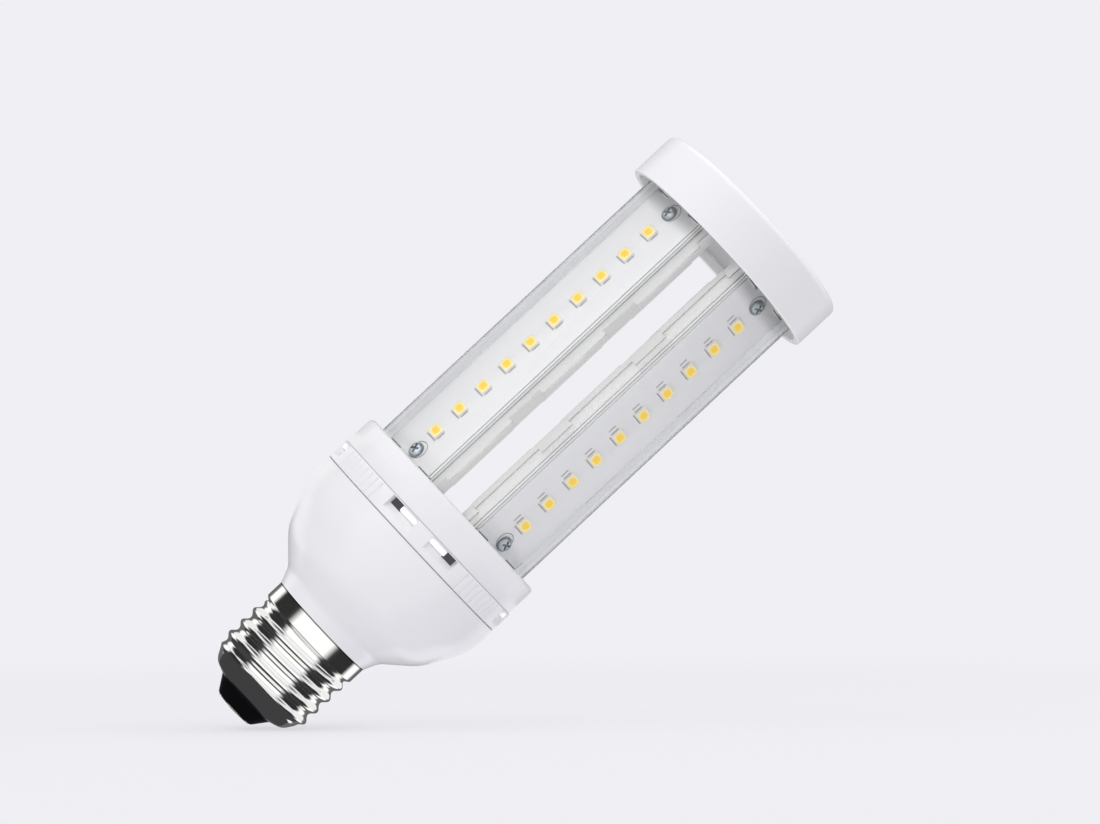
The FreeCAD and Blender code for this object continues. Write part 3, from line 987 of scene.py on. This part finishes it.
@dataclass
class ScrewBase:
    """Nickel shell with the rolled thread, black insulator and contact."""

    crest_radius: float = 13.2
    thread_depth: float = 1.05
    pitch: float = 3.629
    first_crest: float = 9.46
    turns: float = 3.25
    mouth_radius: float = 7.6
    bottom: float = 4.0
    cone_top: float = 7.82
    skirt_bottom: float = 21.9
    skirt_full: float = 23.0
    rim: float = 27.0
    wall: float = 0.4
    rings: int = 150
    sides: int = 180
    shoulder_out: float = 2.9
    shoulder_up: float = 1.05
    shoulder_rounding: float = 3.2
    neck_rounding: float = 2.6
    neck: float = 1.2
    roll: float = 1.25
    roll_start: float = 6.82
    lead_in: Point = (-0.55, -0.05)
    lead_out: Point = (-0.1, 0.3)
    insulator: tuple[Corner, ...] = (
        (1.25, 6.2, 0.0), (1.25, 0.5, 0.0), (5.1, 0.5, 0.5),
        (7.56, 4.0, 0.1), (6.95, 4.05, 0.0), (9.5, 6.2, 0.0),
    )
    contact: tuple[Corner, ...] = (
        (0.0, 0.0, 0.0), (2.0, 0.0, 1.5), (4.75, 0.3, 0.1), (4.75, 0.5, 0.0), (1.2, 0.5, 0.0),
        (1.2, 6.2, 0.0), (2.2, 6.25, 0.1), (1.2, 6.6, 0.2), (0.0, 6.6, 0.0),
    )

    def build(self, paints: Paints) -> None:
        """Makes the three pieces of the base.

        Args:
            paints: Materials of the finishes.
        """
        paints.seat(self.shell(), Finish.SHELL, Slot.SHELL, "screw_shell")
        insulator = smooth(turned_piece("base_insulator_finished", rounded(self.insulator)))
        paints.seat(insulator, Finish.INSULATOR, Slot.INSULATOR, "base_insulator")
        contact = smooth(turned_piece("centre_contact_finished", rounded(self.contact), steps=72))
        paints.seat(contact, Finish.CONTACT, Slot.CONTACT, "centre_contact")

    def shell(self) -> Object:
        """Turns the plain wall, rolls the thread into it and gives it its thickness.

        Returns:
            The shell.
        """
        root = self.crest_radius - self.thread_depth
        corners = (
            (self.mouth_radius, self.bottom, 0.0),
            (self.mouth_radius + self.shoulder_out, self.bottom + self.shoulder_up, self.shoulder_rounding),
            (root, self.cone_top, self.neck_rounding),
            (root, self.cone_top + self.neck, 0.0),
        )
        foot = rounded(corners, steps=10)
        start = foot[-1][1]
        wall = [(root, start + (self.rim - start) * (i + 1) / self.rings) for i in range(self.rings)]
        piece = turned_piece("screw_shell_finished", foot + wall, self.sides, closed=False)
        for vertex in piece.data.vertices:
            flat = math.hypot(vertex.co.x, vertex.co.y)
            if vertex.co.z > self.roll_start * MM:
                angle = math.atan2(vertex.co.y, vertex.co.x) % math.tau
                out = 1.0 + self.swell(vertex.co.z / MM, angle / math.tau) * MM / flat
                vertex.co.x *= out
                vertex.co.y *= out
        apply_modifier(piece, "SOLIDIFY", thickness=self.wall * MM, offset=-1.0, use_even_offset=True)
        return smooth(piece, degrees=40.0)

    def swell(self, level: float, share: float) -> float:
        """How far the wall stands out from the thread's root.

        Args:
            level: Height, in millimetres.
            share: Angle from +X as a share of a turn.

        Returns:
            The distance, in millimetres.
        """
        along = (level - self.first_crest) / self.pitch
        wave = (0.5 + 0.5 * math.cos(math.tau * (along - share))) ** self.roll
        lead_in = ease(along, *self.lead_in)
        lead_out = 1.0 - ease(along - self.turns, *self.lead_out)
        skirt = ease(level, self.skirt_bottom, self.skirt_full)
        return self.thread_depth * max(wave * lead_in * lead_out, skirt)


def ease(value: float, low: float, high: float) -> float:
    """Smooth step from 0 at low to 1 at high."""
    share = min(max((value - low) / (high - low), 0.0), 1.0)
    return share * share * (3.0 - 2.0 * share)


# White body


@dataclass
class WhiteBody:
    """Bowl, ring, collar, carrier and cap in white plastic."""

    bowl: tuple[Corner, ...] = (
        (13.3, 27.0, 0.0), (14.67, 30.3, 5.0), (21.44, 36.6, 14.0),
        (26.456, 46.2, 15.0), (26.456, 53.45, 0.0), (26.156, 53.65, 0.0),
    )
    bowl_inside: tuple[Corner, ...] = (
        (24.956, 53.65, 0.0), (24.956, 46.6, 13.5), (20.3, 37.7, 12.5), (13.5, 31.2, 0.0),
        (10.1, 28.5, 0.0), (10.1, 12.0, 0.0), (11.7, 12.0, 0.0), (11.7, 23.2, 0.0),
        (12.75, 23.2, 0.0), (12.75, 27.0, 0.0),
    )
    cap: tuple[Corner, ...] = (
        (0.0, 156.0, 0.0), (23.906, 156.0, 0.0), (23.906, 152.2, 0.0), (24.906, 152.2, 0.0),
        (24.906, 146.2, 0.0), (25.106, 146.0, 0.0), (26.206, 146.0, 0.0), (26.406, 146.2, 0.0),
        (26.406, 157.45, 1.5), (15.0, 158.3, 30.0), (0.0, 158.3, 0.0),
    )

    def build(self, paints: Paints) -> None:
        """Makes the white pieces.

        Args:
            paints: Materials of the finishes.
        """
        profile = rounded(self.bowl, steps=12) + rounded(self.bowl_inside)
        bowl = smooth(turned_piece("lamp_housing_finished", profile))
        paints.seat(bowl, Finish.HOUSING, Slot.HOUSING, "lamp_housing")
        cap = smooth(turned_piece("top_cap_finished", rounded(self.cap)))
        paints.seat(cap, Finish.CAP, Slot.HOUSING, "top_cap")
        for node, width, finish, slot in (
            ("grip_ring", 0.12, Finish.HOUSING, Slot.HOUSING),
            ("column_collar", 0.15, Finish.COLLAR, Slot.HOUSING),
            ("carrier_plate", 0.12, Finish.CARRIER, Slot.CARRIER),
        ):
            paints.seat(softened_node(node, width), finish, slot, node)


# LED columns


@dataclass
class LedColumns:
    """Four columns, each modelled facing +X and copied round the axis."""

    count: int = 4
    board_face: float = 19.2
    led_width: float = 3.5
    led_length: float = 2.8
    led_height: float = 0.7
    window_width: float = 3.05
    window_height: float = 2.4
    case_rounding: float = 0.08
    dish_depth: float = 0.22
    dish_shares: Point = (1.02, 1.03)
    led_count: int = 10
    led_pitch: float = 7.0
    first_led: float = 74.6
    screw_low: float = 68.65
    screw_high: float = 143.55
    head_radius: float = 1.85
    head_height: float = 1.0
    shank_radius: float = 0.9
    shank_length: float = 3.4
    recess_width: float = 0.5
    recess_length: float = 2.2
    recess_depth: float = 0.6
    recess_turn: float = 25.0
    head_flat: float = 0.62
    crown_rounding: float = 1.2
    edge_rounding: float = 0.5
    head_rounding: float = 0.05
    print_radius: float = 2.2
    print_line: float = 0.16
    print_height: float = 0.02
    print_aside: float = 0.35
    print_rise: float = 0.5
    mark_width: float = 0.28
    mark_length: float = 2.0
    mark_gap: float = 0.12
    mark_height: float = 0.05
    pad_step: float = 1.15
    slot_inner: float = 4.2
    slot_outer: float = 8.4
    slot_low: float = 66.45
    slot_high: float = 145.95
    slot_height: float = 0.28
    square_power: int = 3
    gel_lift: float = 0.08
    gel_depth: float = 0.1
    gel_dome: float = 0.06
    gel_reaches: tuple[float, ...] = (0.0, 0.3, 0.5, 0.65, 0.78, 0.88, 0.95, 1.0)

    def build(self, paints: Paints) -> None:
        """Makes the pieces of every column.

        Args:
            paints: Materials of the finishes.
        """
        models = {
            "led_packages": (self.cases(), Finish.LED_CASE, Slot.LED_CASE),
            "led_phosphors": (self.windows(), Finish.PHOSPHOR, Slot.PHOSPHOR),
            "board_screws": (self.screws(), Finish.SCREW, Slot.SCREW),
        }
        for number in range(1, self.count + 1):
            angle = (number - 0.5) * 360.0 / self.count
            for node, (model, finish, slot) in models.items():
                piece = turned_copy(model, f"{node}_{number}_finished", angle)
                paints.seat(piece, finish, slot, f"{node}_{number}")
            inward = 1 if number in (1, 3) else -1
            for name, model, finish in (
                ("board_marks", self.marks(inward), Finish.PAD),
                ("board_rings", self.rings(inward), Finish.PRINT),
            ):
                paints.seat(turned_copy(model, f"{name}_{number}", angle), finish, Slot.BOARD)
                bpy.data.objects.remove(model)
            for node, width, finish, slot in (
                ("led_board", 0.06, Finish.BOARD, Slot.BOARD),
                ("back_plate", 0.1, Finish.PLATE, Slot.PLATE),
                ("column_cover", 0.1, Finish.COVER, Slot.COVER),
            ):
                paints.seat(softened_node(f"{node}_{number}", width), finish, slot, f"{node}_{number}")
        for model, _, _ in models.values():
            bpy.data.objects.remove(model)

    def repeat(self, piece: Object, count: int, step: float) -> Object:
        """Repeats a piece along the column, at steps in millimetres."""
        move = {"use_constant_offset": True, "constant_offset_displace": (0.0, 0.0, step * MM)}
        return apply_modifier(piece, "ARRAY", count=count, use_relative_offset=False, **move)

    def cases(self) -> Object:
        """White LED packages with a dished front.

        Returns:
            The ten packages of one board.
        """
        half = self.led_width / 2
        tall = self.led_length / 2
        front = self.board_face + self.led_height
        low = (self.board_face, -half, self.first_led - tall)
        case = box_piece("led_case", low, (front, half, self.first_led + tall))
        soften(case, self.case_rounding)
        deep = self.dish_depth
        foot, brim = self.dish_shares
        cut(case, self.window("dish", [(foot, -deep), (brim, deep), (0.0, deep), (0.0, -deep)], front))
        return self.repeat(smooth(case), self.led_count, self.led_pitch)

    def reach(self, across: float, along: float) -> float:
        """Share of the way to the squared outline of an LED's window, from shares of its half sides."""
        power = self.square_power
        return (abs(across) ** power + abs(along) ** power) ** (1 / power)

    def window(self, name: str, profile: list[Point], level: float) -> Object:
        """Turned piece squared to the outline of the LED's window, facing +X at the first LED.

        Args:
            name: Name of the piece.
            profile: Share of the window's half width, and height above the level in millimetres.
            level: Distance of the level from the axis.

        Returns:
            The piece.
        """
        piece = turned_piece(name, profile, steps=40)
        for vertex in piece.data.vertices:
            x, y = vertex.co.x / MM, vertex.co.y / MM
            squared = math.hypot(x, y) / max(self.reach(x, y), 1e-6)
            out = level + vertex.co.z / MM
            up = self.first_led + y * squared * self.window_height / 2
            vertex.co = Vector((out, -x * squared * self.window_width / 2, up)) * MM
        start_edit(piece)
        bpy.ops.mesh.normals_make_consistent(inside=False)
        end_edit()
        return piece

    def windows(self) -> Object:
        """Phosphor windows, a little domed, with the reach attribute.

        Returns:
            The ten windows of one board.
        """
        top = [(share, self.gel_dome * (1.0 - share**2)) for share in self.gel_reaches]
        level = self.board_face + self.led_height - self.dish_depth + self.gel_lift
        piece = self.window("led_window", [*top, (1.0, -self.gel_depth), (0.0, -self.gel_depth)], level)
        reaches = piece.data.attributes.new("reach", "FLOAT", "POINT").data
        for vertex in piece.data.vertices:
            across = vertex.co.y / MM / (self.window_width / 2)
            along = (vertex.co.z / MM - self.first_led) / (self.window_height / 2)
            reaches[vertex.index].value = min(self.reach(across, along), 1.0)
        return self.repeat(smooth(piece, degrees=50.0), self.led_count, self.led_pitch)

    def screws(self) -> Object:
        """Pan-head screws with a cross recess.

        Returns:
            The two screws of one board.
        """
        corners = (
            (0.0, self.head_height, 0.0),
            (self.head_radius * self.head_flat, self.head_height, self.crown_rounding),
            (self.head_radius, self.head_height / 2, self.edge_rounding),
            (self.head_radius, 0.0, 0.0),
            (self.shank_radius, 0.0, 0.0),
            (self.shank_radius, -self.shank_length, 0.0),
            (0.0, -self.shank_length, 0.0),
        )
        screw = turned_piece("board_screw", rounded(corners), steps=40)
        deep = self.head_height - self.recess_depth
        sides = (self.recess_length / 2, self.recess_width / 2)
        for half, other in (sides, sides[::-1]):
            cut(screw, box_piece("recess", (-half, -other, deep), (half, other, self.head_height * 2)))
        soften(screw, self.head_rounding, degrees=45.0)
        screw.rotation_euler.z = math.radians(self.recess_turn)
        self.lay(keep_place(screw), 0.0, self.screw_low)
        return self.repeat(smooth(screw), 2, self.screw_high - self.screw_low)

    def lay(self, piece: Object, aside: float, level: float) -> None:
        """Turns a piece from +Z to +X and sets it on the board.

        Args:
            piece: Piece that stands on the origin.
            aside: Distance from the board's middle line, in millimetres.
            level: Height of its axis, in millimetres.
        """
        piece.rotation_euler.y = math.pi / 2
        piece.location = Vector((self.board_face, aside, level)) * MM
        keep_place(piece)

    def rings(self, inward: int) -> Object:
        """Thin printed rings round the screws, a little off their centres, and the dark end slots.

        Args:
            inward: 1 or -1, the side of the column that is nearer to the lamp's middle in front.

        Returns:
            The rings and slots of one board.
        """
        inner = self.print_radius - self.print_line
        ring = hoop("board_ring", (inner, self.print_radius), (0.0, self.print_height), steps=64)
        self.lay(ring, inward * self.print_aside, self.screw_low + self.print_rise)
        slots = [
            self.mark(side * self.slot_inner, side * self.slot_outer, low, low + self.slot_height)
            for side in (-1, 1)
            for low in (self.slot_low, self.slot_high)
        ]
        return join([self.repeat(ring, 2, self.screw_high - self.screw_low), *slots], "board_ring")

    def marks(self, inward: int) -> Object:
        """Dark marks beside and below each LED: solder pad edges with painted shadow beside, and painted
        shadow under the package.

        Args:
            inward: 1 or -1, the side of the LED that they lie on.

        Returns:
            The marks of one board.
        """
        half = self.led_width / 2
        near = half + self.mark_gap
        bottom = self.first_led - self.mark_length / 2
        top = self.first_led + self.mark_length / 2
        marks = [
            self.mark(inward * side, inward * (side + self.mark_width), bottom, top)
            for side in ((near,) if inward > 0 else (near, near + self.pad_step))
        ]
        # Painted shadow under the package.
        low = self.first_led - self.led_length / 2 - self.mark_gap
        marks.append(self.mark(-half, half, low - self.mark_width, low))
        return self.repeat(join(marks, "board_mark"), self.led_count, self.led_pitch)

    def mark(self, side: float, other: float, bottom: float, top: float) -> Object:
        """One thin raised mark on the board, between two sides and two heights."""
        corner = (self.board_face + self.mark_height, max(side, other), top)
        return box_piece("board_mark", (self.board_face, min(side, other), bottom), corner)


# Driver


@dataclass
class Driver:
    """Hidden driver pieces, which keep their construction solids, and a dark sheet round them that paints the
    shade in the ring's windows.
    """

    sheet_radius: float = 20.6
    sheet_thickness: float = 0.15
    sheet_bottom: float = 50.0
    sheet_top: float = 60.3
    finishes: dict[str, Finish] = field(
        default_factory=lambda: {
            "driver_board": Finish.LAMINATE,
            "driver_capacitor": Finish.SLEEVE,
            "driver_transformer": Finish.TAPE,
            "driver_choke": Finish.SLEEVE,
            "film_capacitor": Finish.FILM,
            "bridge_rectifier": Finish.SLEEVE,
            "contact_wire": Finish.LEAD,
            "shell_wire": Finish.LEAD,
            "board_leads": Finish.LEAD,
        }
    )

    def build(self, paints: Paints) -> None:
        """Dresses the driver's nodes and makes the dark sheet, painted shade that shows in the ring's
        windows.

        Args:
            paints: Materials of the finishes.
        """
        for node, finish in self.finishes.items():
            paints.apply(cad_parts[node], finish)
            log.info("%s: dressed", node)
        # Painted shade: a dark sheet inside the ring, where its windows show shade.
        within = self.sheet_radius - self.sheet_thickness
        shade_sheet = smooth(hoop("window_shade_sheet", (within, self.sheet_radius), (self.sheet_bottom, self.sheet_top)))
        paints.seat(shade_sheet, Finish.SHIELD, Slot.INSULATOR)


# Studio


@dataclass(frozen=True)
class SoftLamp:
    """Square soft lamp, with its place from the lamp's middle along the photograph's up and right."""

    name: str
    up: float
    right: float
    offset: Corner
    size: float
    power: float


@dataclass
class Studio:
    """Pale floor and background, soft lamps, dark cards for reflections, and the camera.

    Places are in metres. The photograph shows the lamp leaning, so the studio leans the other way.
    """

    lean: float = 43.06
    distance: float = 0.780
    eye_level: float = 0.0670
    aim: Corner = (-0.0002, 0.0, 0.0958)
    pixels_per_mm: float = 4.52
    picture_width: int = 1100
    sensor: float = 36.0
    background: Colour = srgb(239, 239, 244)
    ambient: float = 0.70
    ambient_colour: Colour = (1.0, 1.0, 1.02)
    middle: Corner = (0.0, 0.0, 0.08)
    soft_lamps: tuple[SoftLamp, ...] = (
        SoftLamp("top_softbox", up=0.5, right=-0.25, offset=(0.0, -0.3, 0.0), size=0.6, power=1.05),
        SoftLamp("end_softbox", up=0.0, right=0.0, offset=(0.0, -0.05, 0.6), size=0.3, power=1.0),
        SoftLamp("front_softbox", up=0.2, right=-0.34, offset=(0.0, -0.9, 0.0), size=0.6, power=0.5),
    )
    tent_radius: float = 0.060
    tent_sides: int = 96
    tent_floor: float = -0.020
    tent_break: float = 0.029
    tent_top: float = 0.060
    tent_tones: tuple[Point, ...] = (
        (0.0, 1.1), (37.0, 1.1), (50.0, 0.05), (57.0, 0.03), (96.0, 0.03),
        (107.0, 1.15), (124.0, 1.1), (133.0, 0.14), (180.0, 0.14),
    )
    upper_tones: tuple[Point, ...] = (
        (0.0, 1.1), (37.0, 1.1), (50.0, 0.05), (57.0, 0.03), (96.0, 0.03),
        (107.0, 0.95), (180.0, 0.9),
    )
    base_tone: Colour = srgb(64, 64, 66)
    back_place: Corner = (0.0, 0.45, 0.08)
    back_tone: Colour = srgb(176, 176, 180)
    flag_place: Corner = (0.24, -0.12, 0.24)
    flag_aim: Corner = (0.0, 0.0, 0.12)
    flag_size: float = 0.34
    flag_tone: Colour = (0.3, 0.3, 0.31)
    floor_size: float = 1.6
    floor_shift: float = 0.10
    floor_gap: float = 0.0043
    floor_fade: Point = (0.16, 0.40)
    floor_paint: Colour = (0.21, 0.21, 0.217)
    floor_glow: float = 0.745

    def build(self) -> None:
        """Sets the whole studio up."""
        self.camera()
        self.world()
        for lamp in self.soft_lamps:
            self.lamp(lamp)
        self.flag()
        self.tent()
        self.floor()

    def up(self) -> Vector:
        """The photograph's upward direction in the lamp's frame."""
        lean = math.radians(90.0 - self.lean)
        return Vector((-math.sin(lean), 0.0, math.cos(lean)))

    def right(self) -> Vector:
        """The photograph's rightward direction in the lamp's frame."""
        up = self.up()
        return Vector((up.z, 0.0, -up.x))

    def point(self, piece: Object, direction: Vector, axis: str) -> None:
        """Turns an object so that its axis points in a direction."""
        piece.rotation_mode = "QUATERNION"
        piece.rotation_quaternion = direction.to_track_quat(axis, "Y")

    def hide(self, piece: Object, *rays: str) -> None:
        """Hides a piece from some kinds of rays, and keeps it in the studio.

        Args:
            piece: Piece of the studio.
            rays: Kinds of rays.
        """
        for ray in rays:
            setattr(piece, f"visible_{ray}", False)

    def camera(self) -> None:
        """Camera at the photograph's viewing angle, rolled so that the lamp leans as it does there."""
        bpy.ops.object.camera_add(location=(0.0, -self.distance, self.eye_level))
        camera = bpy.context.object
        look = Vector(self.aim) - camera.location
        side = look.cross(self.up()).normalized()
        top = side.cross(look).normalized()
        turn = Matrix((side, top, -look.normalized())).transposed()
        camera.rotation_mode = "QUATERNION"
        camera.rotation_quaternion = turn.to_quaternion()
        focal_pixels = self.pixels_per_mm * look.length / MM
        camera.data.sensor_width = self.sensor
        camera.data.lens = self.sensor * focal_pixels / self.picture_width
        bpy.context.scene.camera = camera

    def world(self) -> None:
        """Even light, with the photograph's background for what the camera, gloss and glass see."""
        world = bpy.data.worlds.new("studio")
        bpy.context.scene.world = world
        world.use_nodes = True
        nodes = Nodes(world.node_tree)
        nodes.tree.nodes.clear()
        path = nodes.add("LightPath", {}).outputs
        seen = path["Is Camera Ray"]
        for name in ("Is Glossy Ray", "Is Transmission Ray"):
            seen = nodes.math("MAXIMUM", seen, path[name])
        light = nodes.add("Background", {"Color": self.ambient_colour, "Strength": self.ambient})
        pale = nodes.add("Background", {"Color": self.background})
        mix = nodes.add("MixShader", {"Fac": seen, 1: light.outputs[0], 2: pale.outputs[0]})
        nodes.add("OutputWorld", {"Surface": mix.outputs[0]})

    def lamp(self, lamp: SoftLamp) -> None:
        """Adds a soft lamp that faces the middle of the lamp and isn't reflected.

        Args:
            lamp: Its place, size and power.
        """
        middle = Vector(self.middle)
        place = middle + self.up() * lamp.up + self.right() * lamp.right + Vector(lamp.offset)
        bpy.ops.object.light_add(type="AREA", location=place)
        light = new_piece(lamp.name)
        light.data.size = lamp.size
        light.data.energy = lamp.power
        light.visible_glossy = False
        self.point(light, middle - place, "-Z")

    def flag(self) -> None:
        """Grey card at the right, which takes light off that side without being seen."""
        bpy.ops.mesh.primitive_plane_add(size=self.flag_size, location=self.flag_place)
        flag = new_piece("side_flag")
        self.point(flag, Vector(self.flag_aim) - Vector(self.flag_place), "Z")
        flag.data.materials.append(self.card("flag_cloth", self.flag_tone).material)
        self.hide(keep_place(flag), "camera", "glossy", "transmission", "shadow", "volume_scatter")

    def tent(self) -> None:
        """Round tent that only reflections show: bright in front, dark at both sides, grey behind."""
        self.tent_wall("tent_wall", self.tent_floor, self.tent_break, self.tent_tones)
        self.tent_wall("tent_upper_wall", self.tent_break, self.tent_top, self.upper_tones)
        settings = {"vertices": self.tent_sides, "radius": self.tent_radius, "fill_type": "NGON"}
        bpy.ops.mesh.primitive_circle_add(location=(0.0, 0.0, self.tent_floor), **settings)
        self.hang("tent_base", self.card("dark_card", self.base_tone))
        bpy.ops.mesh.primitive_plane_add(size=1.0, location=self.back_place, rotation=(math.pi / 2, 0.0, 0.0))
        self.hang("back_card", self.card("grey_card", self.back_tone))

    def tent_wall(self, name: str, low: float, high: float, tones: tuple[Point, ...]) -> None:
        """One height of the tent's wall, with its glow by the angle from the camera's side.

        Args:
            name: Name of the wall.
            low: Height of its lower edge.
            high: Height of its upper edge.
            tones: Angles from the camera's side, and the glow at each.
        """
        settings = {"vertices": self.tent_sides, "radius": self.tent_radius, "end_fill_type": "NOTHING"}
        bpy.ops.mesh.primitive_cylinder_add(
            depth=high - low, location=(0.0, 0.0, (high + low) / 2), **settings
        )
        cloth = self.card(name, (0.0, 0.0, 0.0))
        parts = cloth.parts()
        angle = cloth.math("ARCTAN2", parts["X"], cloth.math("MULTIPLY", parts["Y"], -1.0))
        share = cloth.math("DIVIDE", cloth.math("ABSOLUTE", angle), math.pi)
        cloth.shade(Emission_Color=cloth.ramp(share, grey(tones, 180.0)))
        self.hang(name, cloth)

    def hang(self, name: str, cloth: Recipe) -> None:
        """Makes the piece just added a part of the tent, which only reflections show.

        Args:
            name: Name of the piece.
            cloth: Its material in the making.
        """
        piece = keep_place(new_piece(name))
        piece.data.materials.append(cloth.material)
        self.hide(piece, "camera", "diffuse", "transmission", "shadow", "volume_scatter")

    def card(self, name: str, tone: Colour) -> Recipe:
        """Plain glowing card.

        Args:
            name: Name of the material.
            tone: Colour that reflections show.

        Returns:
            Its material in the making.
        """
        recipe = Recipe(name)
        recipe.shade(Base_Color=(0.0, 0.0, 0.0), Specular_IOR_Level=0.0)
        recipe.shade(Emission_Color=tone, Emission_Strength=1.0)
        return recipe

    def floor(self) -> None:
        """Pale floor under the leaning lamp, which fades into the background and is clear from below."""
        up = self.up()
        place = self.right() * self.floor_shift - up * self.floor_gap
        bpy.ops.mesh.primitive_plane_add(size=self.floor_size, location=place)
        floor = new_piece("studio_floor")
        self.point(floor, up, "Z")
        recipe = Recipe("pale_floor")
        recipe.shade(Base_Color=self.floor_paint, Roughness=1.0, Specular_IOR_Level=0.0)
        recipe.shade(Emission_Color=self.background, Emission_Strength=self.floor_glow)
        away = recipe.fade(recipe.length(recipe.place()), *self.floor_fade)
        below = recipe.add("NewGeometry", {}).outputs["Backfacing"]
        recipe.see_through(recipe.math("MAXIMUM", away, below))
        floor.data.materials.append(recipe.material)
        self.hide(floor, "glossy")


def main() -> None:
    """Builds the lamp and its studio."""
    bpy.context.scene.view_settings.view_transform = "Standard"
    paints = Paints()
    for part in (ScrewBase(), WhiteBody(), LedColumns(), Driver()):
        part.build(paints)
    Studio().build()


if __name__ == "__main__":
    main()
